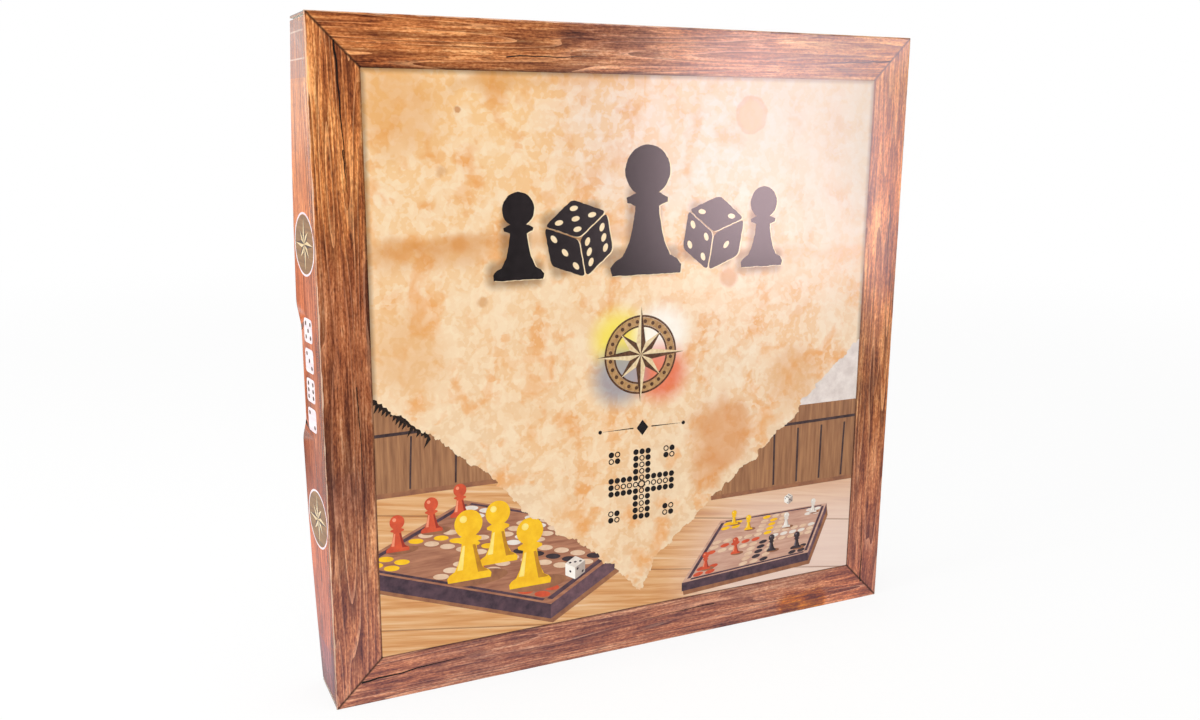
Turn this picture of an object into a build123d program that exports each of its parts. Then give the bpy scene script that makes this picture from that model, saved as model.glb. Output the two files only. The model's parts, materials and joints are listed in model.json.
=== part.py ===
from build123d import *
import os

# A boxed ludo game stood upright on its narrow bottom wall, its printed front towards -Y.
# Millimetres, +Z up, origin under the middle of the bottom wall.

# Card box
LID_W = 400.0
LID_H = 400.0
LID_D = 40.0
CARD = 1.6
FOLD_R = 1.0
SIDE_BOW = 4.8
TOP_BOW = 2.4
TAB_LENGTH = 30.0
TAB_TAPER = 7.0
CORNER_SLIT = 1.2
NOTCH_LENGTH = 80.0
NOTCH_DEPTH = 8.0
NOTCH_RAMP = 12.0
NOTCH_R = 12.0
LID_FIT = 0.6

# Contents
SEAT = 0.3
LEAFLET_W = 148.0
LEAFLET_H = 210.0
SHEET = 0.3
SHEET_GAP = 0.2
BOARD_GAP = 2.7
BOARD_T = 12.0
BOARD_BEVEL = 1.5
BOARD_CORNER_R = 3.0
INSERT_FIT = 0.3
PAWN_W = 28.0
PAWN_H = 44.0
PAWN_T = 15.0
FOOT_H = 5.0
HEAD_R = 9.5
NECK_W = 13.0
NEST_FIT = 0.3
NEST_WALL = 12.0
GROUP_INSET = 90.0
FINGER_D = 24.0
DIE_SIDE = 16.0
DIE_CHAMFER = 1.2
PIP_D = 2.8
PIP_DEPTH = 0.9
PIP_PITCH = 4.2
THUMB_SLOT_L = 44.0
THUMB_SLOT_W = 13.0

PAWN_COLOURS = ("yellow", "red", "white", "black")

# Depths, from the printed front at the low end of Y to the base's floor at the high end
front_y = -LID_D / 2
back_y = LID_D / 2
leaflet_t = 2 * SHEET + SHEET_GAP
rim_y = front_y + CARD + SEAT
board_y = rim_y + leaflet_t + SEAT
insert_y = board_y + BOARD_T + SEAT
floor_y = back_y - CARD
insert_t = floor_y - SEAT - insert_y
pawn_back = insert_y + PAWN_T
die_back = insert_y + DIE_SIDE

# Widths and heights: each piece stands on the bottom of the tray that holds it
base_w = LID_W - 4 * CARD - 2 * LID_FIT
base_h = LID_H - 2 * CARD - 2 * LID_FIT
base_foot = CARD + SEAT
inside_foot = base_foot + CARD
insert_w = base_w - 4 * CARD - 2 * INSERT_FIT
insert_h = base_h - 2 * CARD - 2 * INSERT_FIT
contents_foot = inside_foot + SEAT
insert_z = contents_foot + insert_h / 2
board_side = min(insert_w, insert_h) - 2 * BOARD_GAP


def facing_front(y, z, x=0.0):
    """A plane that faces the front, with its own x to the right and y up."""
    return Plane(origin=(x, y, z), x_dir=(1, 0, 0), z_dir=(0, -1, 0))


def head_down(y, z, x):
    """The same plane turned half round, for a piece that is packed head down."""
    return Plane(origin=(x, y, z), x_dir=(-1, 0, 0), z_dir=(0, -1, 0))


def bowed_block(width, height):
    """A block as deep as the lid's walls: straight at the fold, with three sides bowed at the free edge."""
    half_w = width / 2
    half_h = height / 2
    with BuildPart() as block:
        with BuildSketch(facing_front(front_y + CARD, LID_H / 2)):
            Rectangle(width, height)
        with BuildSketch(facing_front(back_y, LID_H / 2)):
            with BuildLine():
                Line((-half_w, -half_h), (half_w, -half_h))
                ThreePointArc((half_w, -half_h), (half_w + SIDE_BOW, 0), (half_w, half_h))
                ThreePointArc((half_w, half_h), (0, half_h + TOP_BOW), (-half_w, half_h))
                ThreePointArc((-half_w, half_h), (-half_w - SIDE_BOW, 0), (-half_w, -half_h))
            make_face()
        loft(ruled=True)
    return block


def tab_profiles(x, fold_y, edge_y, foot, head):
    """Side view, at x, of a tray's corner tabs, which narrow towards the end that is glued down."""
    taper = TAB_TAPER if edge_y < fold_y else -TAB_TAPER
    with BuildSketch(Plane.YZ.offset(x)) as tabs:
        for corner, end in ((foot, foot + TAB_LENGTH), (head, head - TAB_LENGTH)):
            with BuildLine():
                Polyline((fold_y, corner), (edge_y, corner), (edge_y + taper, end), (fold_y, end), close=True)
            make_face()
    return tabs


def is_notch_corner(edge):
    """Whether an edge of the lid is one of the corners of a thumb notch."""
    middle = edge.center()
    return abs(middle.Z - LID_H / 2) < NOTCH_LENGTH / 2 + CARD and middle.Y > back_y - NOTCH_DEPTH - CARD


# Lid: a bowed shell of card with a flat printed panel, tabs inside its corners and two thumb notches
outer_block = bowed_block(LID_W, LID_H)
inner_block = bowed_block(LID_W - 2 * CARD, LID_H - 2 * CARD)
tab_block = bowed_block(LID_W - 4 * CARD, LID_H - 2 * CARD)

with BuildPart() as lid_tabs:
    add(inner_block.part)
    add(tab_block.part, mode=Mode.SUBTRACT)
    tab_sides = tab_profiles(0, front_y + CARD, back_y, 0, LID_H)
    extrude(tab_sides.sketch, amount=LID_W, both=True, mode=Mode.INTERSECT)

with BuildPart() as lid:
    add(outer_block.part)
    fillet(lid.edges().filter_by(lambda edge: edge.bounding_box().size.Y > CARD), FOLD_R)
    add(inner_block.part, mode=Mode.SUBTRACT)
    with BuildSketch(facing_front(front_y + CARD, LID_H / 2)):
        Rectangle(LID_W, LID_H)
    extrude(amount=CARD)
    fillet(lid.faces().sort_by(Axis.Y)[0].edges(), FOLD_R)
    for slit_z in (CARD, LID_H - CARD - CORNER_SLIT):
        with BuildSketch(Plane.XY.offset(slit_z)):
            with Locations((0, CARD / 2)):
                Rectangle(LID_W + 4 * SIDE_BOW, LID_D - CARD)
                Rectangle(LID_W - 2 * CARD, LID_D - CARD, mode=Mode.SUBTRACT)
        extrude(amount=CORNER_SLIT, mode=Mode.SUBTRACT)
    with BuildSketch(Plane.YZ):
        with BuildLine():
            Polyline(
                (back_y, LID_H / 2 - NOTCH_LENGTH / 2),
                (back_y - NOTCH_DEPTH, LID_H / 2 - NOTCH_LENGTH / 2 + NOTCH_RAMP),
                (back_y - NOTCH_DEPTH, LID_H / 2 + NOTCH_LENGTH / 2 - NOTCH_RAMP),
                (back_y, LID_H / 2 + NOTCH_LENGTH / 2),
                close=True,
            )
        make_face()
    extrude(amount=LID_W, both=True, mode=Mode.SUBTRACT)
    fillet(lid.edges().filter_by(Axis.X).filter_by(is_notch_corner), NOTCH_R)
    add(lid_tabs.part)
lid.part.label = "lid"

# Base: a plain straight tray that opens to the front, with the same tabs inside its corners
with BuildPart() as base:
    base_z = base_foot + base_h / 2
    with BuildSketch(facing_front(back_y, base_z)):
        Rectangle(base_w, base_h)
    extrude(amount=CARD)
    fillet(base.faces().sort_by(Axis.Y)[-1].edges(), FOLD_R)
    with BuildSketch(facing_front(floor_y, base_z)):
        Rectangle(base_w, base_h)
        Rectangle(base_w - 2 * CARD, base_h - 2 * CARD, mode=Mode.SUBTRACT)
    extrude(amount=floor_y - rim_y)
    for slit_z in (inside_foot, base_foot + base_h - CARD - CORNER_SLIT):
        with BuildSketch(Plane.XY.offset(slit_z)):
            with Locations((0, (rim_y + floor_y) / 2)):
                Rectangle(base_w, floor_y - rim_y)
                Rectangle(base_w - 2 * CARD, floor_y - rim_y, mode=Mode.SUBTRACT)
        extrude(amount=CORNER_SLIT, mode=Mode.SUBTRACT)
    for tab_x in (CARD - base_w / 2, base_w / 2 - 2 * CARD):
        base_tabs = tab_profiles(tab_x, floor_y, rim_y, inside_foot, base_foot + base_h - CARD)
        extrude(base_tabs.sketch, amount=CARD)
base.part.label = "base"

# Leaflet: one sheet folded in half, its fold on the left
with BuildPart() as leaflet:
    with BuildSketch(Plane.XY.offset(contents_foot)):
        with Locations((0, rim_y + leaflet_t / 2)):
            Rectangle(LEAFLET_W, leaflet_t)
            Rectangle(LEAFLET_W, SHEET_GAP, mode=Mode.SUBTRACT)
        with Locations((-LEAFLET_W / 2, rim_y + leaflet_t / 2)):
            Circle(leaflet_t / 2)
            Circle(SHEET_GAP / 2, mode=Mode.SUBTRACT)
    extrude(amount=LEAFLET_H)
leaflet.part.label = "leaflet"

# Board: one flat piece of wood, bevelled all round on its printed face and on its back
with BuildPart() as board:
    with BuildSketch(facing_front(board_y + BOARD_T, contents_foot + board_side / 2)):
        RectangleRounded(board_side, board_side, BOARD_CORNER_R)
    extrude(amount=BOARD_T)
    chamfer(board.faces().sort_by(Axis.Y)[0].edges(), BOARD_BEVEL)
    chamfer(board.faces().sort_by(Axis.Y)[-1].edges(), BOARD_BEVEL)
board.part.label = "board"

# Pawn: a flat figure with a broad foot, a tapered body and a round head
with BuildSketch() as pawn_outline:
    with BuildLine():
        Polyline(
            (-NECK_W / 2, PAWN_H - HEAD_R),
            (-PAWN_W / 2, FOOT_H),
            (-PAWN_W / 2, 0),
            (PAWN_W / 2, 0),
            (PAWN_W / 2, FOOT_H),
            (NECK_W / 2, PAWN_H - HEAD_R),
            close=True,
        )
    make_face()
    with Locations((0, PAWN_H - HEAD_R)):
        Circle(HEAD_R)

with BuildSketch() as nest_outline:
    add(pawn_outline.sketch)
    offset(amount=NEST_FIT, kind=Kind.INTERSECTION)

# Four groups of four nests: in each, the two pairs lie foot to foot round a finger hole
group_out = insert_w / 2 - GROUP_INSET
group_up = insert_h / 2 - GROUP_INSET
group_centres = [(x * group_out, z * group_up) for x in (-1, 1) for z in (1, -1)]
nest_step = (PAWN_W + NEST_WALL) / 2


def pawn_planes(group_x, group_z, y):
    """The four planes, at depth y, on which one group's pawns stand."""
    left = group_x - nest_step
    right = group_x + nest_step
    upper = insert_z + group_z + NEST_WALL / 2
    lower = insert_z + group_z - NEST_WALL / 2
    return [
        facing_front(y, upper, left),
        facing_front(y, upper, right),
        head_down(y, lower, left),
        head_down(y, lower, right),
    ]


# Insert: a thick slab of layered corrugated card, sunk by the nests and cut through by the finger holes
with BuildPart() as insert:
    with BuildSketch(facing_front(insert_y + insert_t, insert_z)):
        Rectangle(insert_w, insert_h)
        with Locations(*group_centres):
            Circle(FINGER_D / 2, mode=Mode.SUBTRACT)
        SlotOverall(THUMB_SLOT_L, THUMB_SLOT_W, mode=Mode.SUBTRACT)
    extrude(amount=insert_t)
    for group_x, group_z in group_centres:
        with BuildSketch(*pawn_planes(group_x, group_z, pawn_back + SEAT)):
            add(nest_outline.sketch)
        extrude(amount=pawn_back + SEAT - insert_y, mode=Mode.SUBTRACT)
    with BuildSketch(facing_front(die_back + SEAT, insert_z)):
        Rectangle(DIE_SIDE + 2 * NEST_FIT, DIE_SIDE + 2 * NEST_FIT)
    extrude(amount=die_back + SEAT - insert_y, mode=Mode.SUBTRACT)
insert.part.label = "insert"

# Die: eased on every edge, its opposite faces adding up to seven
pip_places = {
    1: [(0, 0)],
    2: [(-1, 1), (1, -1)],
    3: [(-1, 1), (0, 0), (1, -1)],
    4: [(-1, -1), (-1, 1), (1, -1), (1, 1)],
    5: [(-1, -1), (-1, 1), (0, 0), (1, -1), (1, 1)],
    6: [(-1, -1), (-1, 0), (-1, 1), (1, -1), (1, 0), (1, 1)],
}
die_y = die_back - DIE_SIDE / 2
die_faces = {
    1: Plane(origin=(0, die_y - DIE_SIDE / 2, insert_z), x_dir=(1, 0, 0), z_dir=(0, -1, 0)),
    6: Plane(origin=(0, die_y + DIE_SIDE / 2, insert_z), x_dir=(1, 0, 0), z_dir=(0, 1, 0)),
    2: Plane(origin=(-DIE_SIDE / 2, die_y, insert_z), x_dir=(0, 1, 0), z_dir=(-1, 0, 0)),
    5: Plane(origin=(DIE_SIDE / 2, die_y, insert_z), x_dir=(0, 1, 0), z_dir=(1, 0, 0)),
    3: Plane(origin=(0, die_y, insert_z + DIE_SIDE / 2), x_dir=(1, 0, 0), z_dir=(0, 0, 1)),
    4: Plane(origin=(0, die_y, insert_z - DIE_SIDE / 2), x_dir=(1, 0, 0), z_dir=(0, 0, -1)),
}
with BuildPart() as die:
    with BuildSketch(facing_front(die_y + DIE_SIDE / 2, insert_z)):
        Rectangle(DIE_SIDE, DIE_SIDE)
    extrude(amount=DIE_SIDE)
    chamfer(die.edges(), DIE_CHAMFER)
    for value, face_plane in die_faces.items():
        with BuildSketch(face_plane):
            with Locations(*[(x * PIP_PITCH, y * PIP_PITCH) for x, y in pip_places[value]]):
                Circle(PIP_D / 2)
        extrude(amount=-PIP_DEPTH, mode=Mode.SUBTRACT)
die.part.label = "die"

pieces = [lid, base, leaflet, board, insert, die]

for colour, (group_x, group_z) in zip(PAWN_COLOURS, group_centres):
    for number, plane in enumerate(pawn_planes(group_x, group_z, pawn_back), start=1):
        with BuildPart() as pawn:
            with BuildSketch(plane):
                add(pawn_outline.sketch)
            extrude(amount=PAWN_T)
        pawn.part.label = f"pawn_{colour}_{number}"
        pieces.append(pawn)

os.makedirs("parts", exist_ok=True)
for piece in pieces:
    export_step(piece.part, f"parts/{piece.part.label}.step")
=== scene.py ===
# %% [markdown]
# # A boxed ludo game
# The box stands on its narrow bottom wall. Its lid is folded from thin card, printed with a wooden
# frame round a sheet of old paper and laminated with a glossy film. Inside are a white card base,
# a wooden board, an insert of corrugated card, sixteen wooden pawns, a die and a leaflet.
# The frame gives every piece its true size and place. This file gives each of them its finish.

# %% Load the frame
import json
import math

import bpy
from mathutils import Matrix, Vector, noise

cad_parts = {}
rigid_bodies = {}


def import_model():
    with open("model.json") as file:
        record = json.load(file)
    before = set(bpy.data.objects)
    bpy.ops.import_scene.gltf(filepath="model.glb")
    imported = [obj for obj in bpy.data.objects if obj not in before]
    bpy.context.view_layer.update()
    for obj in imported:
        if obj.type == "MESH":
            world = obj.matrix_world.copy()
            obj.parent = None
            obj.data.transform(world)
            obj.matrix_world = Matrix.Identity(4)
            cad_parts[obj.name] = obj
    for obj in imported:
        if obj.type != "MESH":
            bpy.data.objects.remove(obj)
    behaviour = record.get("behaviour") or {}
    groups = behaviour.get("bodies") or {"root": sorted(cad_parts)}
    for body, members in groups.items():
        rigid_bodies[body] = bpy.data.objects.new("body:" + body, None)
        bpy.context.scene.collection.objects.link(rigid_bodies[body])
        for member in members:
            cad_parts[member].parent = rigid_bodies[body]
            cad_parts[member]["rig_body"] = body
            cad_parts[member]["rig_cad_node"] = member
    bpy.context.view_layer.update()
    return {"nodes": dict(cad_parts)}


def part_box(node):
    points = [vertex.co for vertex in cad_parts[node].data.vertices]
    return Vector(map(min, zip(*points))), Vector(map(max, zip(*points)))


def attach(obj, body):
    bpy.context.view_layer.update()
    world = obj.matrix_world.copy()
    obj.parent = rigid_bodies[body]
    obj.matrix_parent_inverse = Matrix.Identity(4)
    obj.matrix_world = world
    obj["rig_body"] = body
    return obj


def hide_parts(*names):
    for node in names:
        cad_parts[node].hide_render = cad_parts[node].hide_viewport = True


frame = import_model()
nodes = frame["nodes"]
print("pieces in the frame:", len(nodes))

# %% [markdown]
# Every operator acts on what is selected, and the loaded pieces come in selected. So the work starts
# with nothing selected. The sizes below are read from the frame, in metres. The front of the lid is
# flat and square, and all print is placed on it in millimetres from its middle.

# %% Sizes from the frame
bpy.ops.object.select_all(action="DESELECT")
MM = 0.001
lid_low, lid_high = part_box("lid")
FRONT_Y = lid_low.y
BACK_Y = lid_high.y
HALF = 200 * MM
MIDDLE_Z = HALF
SIDE_BOW = 4.8 * MM  # how far the free edge of a side wall stands out half way up
BAR_WIDTH = 28.5 * MM
PANEL_HALF = HALF - BAR_WIDTH
INK_STEP = 0.02 * MM  # how thick one skin of print is
INK_DEPTH = 11 * INK_STEP  # how far the bare card lies behind the outermost print
CARD_FRONT = FRONT_Y + INK_DEPTH
HAIR = 0.01 * MM  # two places closer than this count as one
print("lid front at y", round(FRONT_Y, 4))

# %% [markdown]
# The camera stands in front of the box, a little to its left and above its middle, and looks down at
# it. Its place, its angles and its lens come from the corners of the box as the photograph shows them.

# %% Camera
CAMERA_PLACE = (-0.31483, -0.62701, 0.34585)
CAMERA_TURN = math.radians(-25.25)
CAMERA_TILT = math.radians(90 - 12.34)
CAMERA_ROLL = math.radians(0.42)
SENSOR_WIDTH, LENS = 36, 33.13  # both in millimetres
bpy.ops.object.camera_add(location=CAMERA_PLACE)
camera = bpy.context.object
camera.name = "camera"
camera.rotation_euler = (
    Matrix.Rotation(CAMERA_TURN, 3, "Z")
    @ Matrix.Rotation(CAMERA_TILT, 3, "X")
    @ Matrix.Rotation(CAMERA_ROLL, 3, "Z")
).to_euler()
camera.data.sensor_width = SENSOR_WIDTH
camera.data.lens = LENS
camera.data.clip_start = 0.01
bpy.context.scene.camera = camera
print("camera at", CAMERA_PLACE)

# %% [markdown]
# Materials are made of nodes. One small function adds a node, sets its properties and fills its
# inputs: an input that is given a node or a socket is linked, any other value is typed in. A second
# function turns the hex colours that people read on screens into the linear colours of the renderer.

# %% Node and colour helpers
MATH, VECTOR_MATH = "ShaderNodeMath", "ShaderNodeVectorMath"
MAP_RANGE, NOISE_TEX = "ShaderNodeMapRange", "ShaderNodeTexNoise"
MIX_FACTOR, MIX_A, MIX_B, MIX_OUT = 0, 6, 7, 2  # the colour sockets of a Mix node


def add_node(tree, kind, inputs=None, **settings):
    """Add one node. settings are its properties, inputs its sockets by name or number, and a node that
    is given to an input stands for its first output."""
    node = tree.nodes.new(kind)
    for name, value in settings.items():
        setattr(node, name, value)
    for name, value in (inputs or {}).items():
        if isinstance(value, bpy.types.Node):
            value = value.outputs[0]
        if isinstance(value, bpy.types.NodeSocket):
            tree.links.new(value, node.inputs[name])
        else:
            node.inputs[name].default_value = value
    return node


def tint(hex_colour):
    """The linear colour of an sRGB hex value."""
    parts = [int(hex_colour[i : i + 2], 16) / 255 for i in (1, 3, 5)]
    return (*[c / 12.92 if c <= 0.04045 else ((c + 0.055) / 1.055) ** 2.4 for c in parts], 1.0)


def fill_ramp(node, stops):
    """Give a colour ramp its stops: (position, hex colour) pairs in rising order."""
    ramp = node.color_ramp
    while len(ramp.elements) < len(stops):
        ramp.elements.new(1.0)
    for element, (position, colour) in zip(ramp.elements, stops):
        element.position = position
        element.color = tint(colour)
    return node.outputs["Color"]


def new_material(name):
    """An empty node material with its output and its Principled shader."""
    material = bpy.data.materials.new(name)
    material.use_nodes = True
    tree = material.node_tree
    tree.nodes.clear()
    shader = add_node(tree, "ShaderNodeBsdfPrincipled")
    add_node(tree, "ShaderNodeOutputMaterial", {"Surface": shader})
    return material, tree, shader


print("half grey on a screen is", round(tint("#808080")[0], 3), "in linear light")

# %% [markdown]
# The studio is white for the camera, with a strength of 1. Glossy surfaces mirror it as well: behind
# the box it is as white for them, while the camera's own side of the room is dimmer, as in a real
# studio, so that dark print stays dark. All other rays see a grey world, and the lamps decide how
# bright the box is. The world and the floor share one function that tells these rays apart.

# %% Light of the studio
WORLD_FILL = 0.6
ROOM_SIDE = 0.1  # how bright the camera's side of the room is in a mirror
SIDES_MEET = 0.3  # how far either side of the box the bright and the dim side run into each other


def studio_light(tree, behind, brightest=1.0):
    """Two sockets: 1 for rays that see the studio itself, and how white it is for them."""
    path = add_node(tree, "ShaderNodeLightPath")
    mirrored = add_node(
        tree, MATH,
        {0: path.outputs["Is Glossy Ray"], 1: path.outputs["Is Transmission Ray"]}, operation="MAXIMUM",
    )
    direct = add_node(tree, MATH, {0: path.outputs["Is Camera Ray"], 1: mirrored}, operation="MAXIMUM")
    side = add_node(
        tree, MAP_RANGE,
        {"Value": behind, "From Min": -SIDES_MEET, "From Max": SIDES_MEET, "To Min": ROOM_SIDE,
         "To Max": brightest},
        interpolation_type="SMOOTHSTEP",
    )
    white = add_node(tree, MATH, {0: side, 1: path.outputs["Is Camera Ray"]}, operation="MAXIMUM")
    return direct.outputs[0], white.outputs[0]


world = bpy.data.worlds.new("studio")
bpy.context.scene.world = world
world.use_nodes = True
tree = world.node_tree
tree.nodes.clear()
direction = add_node(tree, "ShaderNodeTexCoord").outputs["Generated"]
behind = add_node(tree, "ShaderNodeSeparateXYZ", {0: direction}).outputs["Y"]
direct, white = studio_light(tree, behind)
strength = add_node(tree, MAP_RANGE, {"Value": direct, "To Min": WORLD_FILL, "To Max": white})
sky = add_node(tree, "ShaderNodeBackground", {"Color": tint("#FFFFFF"), "Strength": strength})
add_node(tree, "ShaderNodeOutputWorld", {"Surface": sky})
bpy.context.scene.view_settings.view_transform = "Standard"
print("world:", len(tree.nodes), "nodes")

# %% [markdown]
# The floor glows in the same way. Near the box a share of its light comes from the lamps, which
# leaves a faint shadow there, and further out it turns into the white of the background.

# %% Floor
FLOOR_SIDE = 30  # metres
FLOOR_GLOW = 0.84
FLOOR_MIRROR = 0.55  # how bright the floor is in a mirror, beside the white behind the box
GLOW_NEAR, GLOW_FAR = 0.5, 2.2  # metres from the box between which the floor turns white

bpy.ops.mesh.primitive_plane_add(size=FLOOR_SIDE, location=(0, 0, 0))
floor = bpy.context.object
floor.name = "studio_floor"
material, tree, shader = new_material("matt white studio floor")
shader.inputs["Base Color"].default_value = tint("#FAFAF9")
shader.inputs["Roughness"].default_value = 0.9
shader.inputs["Specular IOR Level"].default_value = 0.0
place = add_node(tree, "ShaderNodeTexCoord").outputs["Object"]
behind = add_node(tree, "ShaderNodeSeparateXYZ", {0: place}).outputs["Y"]
direct, white = studio_light(tree, behind, FLOOR_MIRROR)
away = add_node(tree, VECTOR_MATH, {0: place}, operation="LENGTH").outputs["Value"]
glowing = add_node(
    tree, MAP_RANGE,
    {"Value": away, "From Min": GLOW_NEAR, "From Max": GLOW_FAR, "To Min": FLOOR_GLOW, "To Max": 1.0},
    interpolation_type="SMOOTHSTEP",
)
share = add_node(tree, MATH, {0: direct, 1: glowing}, operation="MULTIPLY")
glow = add_node(tree, "ShaderNodeEmission", {"Color": tint("#FFFFFF"), "Strength": white})
mix = add_node(tree, "ShaderNodeMixShader", {0: share, 1: shader, 2: glow})
add_node(tree, "ShaderNodeOutputMaterial", {"Surface": mix}, is_active_output=True)
floor.data.materials.append(material)
floor.select_set(False)
print("floor:", FLOOR_SIDE, "m wide")

# %% [markdown]
# Three soft lamps light the box: a key lamp at the front left, a lamp at the far left for the narrow
# side wall, and a lamp above. A fourth panel stands at the front right and lights nothing by itself:
# only glossy surfaces see it. The film on the print mirrors it towards the camera, so the upper right
# of the front looks washed out by a soft white veil, as laminated card does in a studio.

# %% Lamps
LAMPS = (  # name, place and side in metres, power in watts
    ("key_lamp", (-1.4, -1.7, 1.3), 1.2, 14),
    ("left_lamp", (-2.2, -0.2, 0.9), 1.0, 24),
    ("top_lamp", (0.1, -0.3, 2.2), 1.4, 11),
)
VEIL_LAMP = ("veil_panel", (0.82, -1.08, 0.32), 0.38, 8.5)
VEIL_HEIGHT = 0.52


def add_lamp(name, place, size, power):
    """A square area lamp that faces the middle of the box."""
    bpy.ops.object.light_add(type="AREA", location=place)
    lamp = bpy.context.object
    lamp.name = name
    lamp.data.size = size
    lamp.data.energy = power
    aim = Vector((0, 0, MIDDLE_Z)) - Vector(place)
    lamp.rotation_euler = aim.to_track_quat("-Z", "Y").to_euler()
    lamp.visible_camera = False
    lamp.select_set(False)
    return lamp


for lamp in LAMPS:
    add_lamp(*lamp)
veil_panel = add_lamp(*VEIL_LAMP)
veil_panel.data.shape = "RECTANGLE"
veil_panel.data.size_y = VEIL_HEIGHT
veil_panel.data.color = tint("#FFE0E8")[:3]
veil_panel.visible_diffuse = False
print("lamps:", len(LAMPS), "and a panel for the veil")

# %% [markdown]
# Many marks in the print are soft round or oblong spots: stains, patches of tone, shadows and glows.
# They share one node group: a rounded bar with a centre, a half length, a half width, an angle, and a
# soft edge. Positions are millimetres on the front, from its middle, with x to the right and z up.


# %% Spot group
def build_spot_group():
    """A node group that gives 1 inside a rounded, turned bar and fades to 0 across its soft edge."""
    group = bpy.data.node_groups.new("soft_spot", "ShaderNodeTree")
    for name in ("Place", "Centre", "Half size"):
        group.interface.new_socket(name, in_out="INPUT", socket_type="NodeSocketVector")
    for name in ("Angle", "Radius", "Softness"):
        group.interface.new_socket(name, in_out="INPUT", socket_type="NodeSocketFloat")
    group.interface.new_socket("Mask", in_out="OUTPUT", socket_type="NodeSocketFloat")
    given = add_node(group, "NodeGroupInput")
    offset = add_node(
        group, VECTOR_MATH, {0: given.outputs["Place"], 1: given.outputs["Centre"]},
        operation="SUBTRACT",
    )
    turned = add_node(
        group, "ShaderNodeVectorRotate", {"Vector": offset, "Angle": given.outputs["Angle"]},
        rotation_type="Y_AXIS",
    )
    folded = add_node(group, VECTOR_MATH, {0: turned}, operation="ABSOLUTE")
    beyond = add_node(
        group, VECTOR_MATH, {0: folded, 1: given.outputs["Half size"]},
        operation="SUBTRACT",
    )
    outside = add_node(group, VECTOR_MATH, {0: beyond, 1: (0, 0, 0)}, operation="MAXIMUM")
    distance = add_node(group, VECTOR_MATH, {0: outside}, operation="LENGTH")
    edge = add_node(
        group, MATH, {0: given.outputs["Radius"], 1: given.outputs["Softness"]},
        operation="ADD",
    )
    mask = add_node(
        group, MAP_RANGE,
        {"Value": distance.outputs["Value"], "From Min": given.outputs["Radius"],
         "From Max": edge, "To Min": 1.0, "To Max": 0.0},
        interpolation_type="SMOOTHSTEP",
    )
    add_node(group, "NodeGroupOutput", {"Mask": mask})
    return group


soft_spot = build_spot_group()
print("spot group has", len(soft_spot.nodes), "nodes")

# %% [markdown]
# A print is built up like a painting: a place to paint on, a mask that says where, and a colour laid
# over the colours before it. The place can be pushed about by a noise, so that straight edges waver.

# %% Places, spots and tones
ENDLESS = 1e4  # a spot reaches this far through the box, so that only x and z count


def print_place(tree):
    """Millimetres on the front from its middle, taken from the object's own coordinates."""
    place = add_node(tree, "ShaderNodeTexCoord")
    return add_node(
        tree, VECTOR_MATH, {0: place.outputs["Object"], 1: (1 / MM, 0, 1 / MM), 2: (0, 0, -MIDDLE_Z / MM)},
        operation="MULTIPLY_ADD",
    )


def wobble(tree, place, size, amount):
    """The same place pushed about by a noise of that size, both in millimetres, so that lines waver."""
    push = add_node(tree, NOISE_TEX, {"Vector": place, "Scale": 1 / size, "Detail": 3})
    centred = add_node(
        tree, VECTOR_MATH, {0: push.outputs["Color"], 1: (0.5, 0.5, 0.5)}, operation="SUBTRACT"
    )
    return add_node(
        tree, VECTOR_MATH, {0: centred, 1: (amount, 0, amount), 2: place}, operation="MULTIPLY_ADD"
    )


def spot(tree, place, centre, half=(0, 0), radius=0.0, softness=1.0, angle=0.0):
    """The mask of one soft spot, with all its sizes in millimetres and its angle in degrees."""
    node = add_node(
        tree, "ShaderNodeGroup",
        {"Place": place, "Centre": (centre[0], 0, centre[1]), "Half size": (half[0], ENDLESS, half[1]),
         "Angle": math.radians(angle), "Radius": radius, "Softness": softness},
        node_tree=soft_spot,
    )
    return node.outputs["Mask"]


def tone_over(tree, colour, mask, hex_colour, strength=1.0):
    """Lay a colour over another where the mask is white."""
    share = add_node(tree, MATH, {0: mask, 1: strength}, operation="MULTIPLY", use_clamp=True)
    mix = add_node(
        tree, "ShaderNodeMix", {MIX_FACTOR: share, MIX_A: colour, MIX_B: tint(hex_colour)},
        data_type="RGBA",
    )
    return mix.outputs[MIX_OUT]


def tone_gain(tree, colour, mask, gains):
    """Multiply the red, green and blue of a colour by gains where the mask is white."""
    raised = add_node(tree, VECTOR_MATH, {0: colour, 1: gains}, operation="MULTIPLY")
    mix = add_node(
        tree, "ShaderNodeMix", {MIX_FACTOR: mask, MIX_A: colour, MIX_B: raised}, data_type="RGBA"
    )
    return mix.outputs[MIX_OUT]


print("the front reaches", round(HALF / MM), "mm either way from its middle")

# %% [markdown]
# The lid is one folded sheet, but its surfaces differ: four bars of printed wood that run on over the
# folds to the outer walls, a printed panel inside them, plain white card on the inside, and raw card
# where the sheet is cut. So the lid's triangles are copied and merged into one skin, the front is cut
# along the mitres and the inner edge of the frame, and each face gets its finish by where it faces.
# The front is set back by a hair, which leaves room for the skins of print that come to lie on it.


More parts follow.
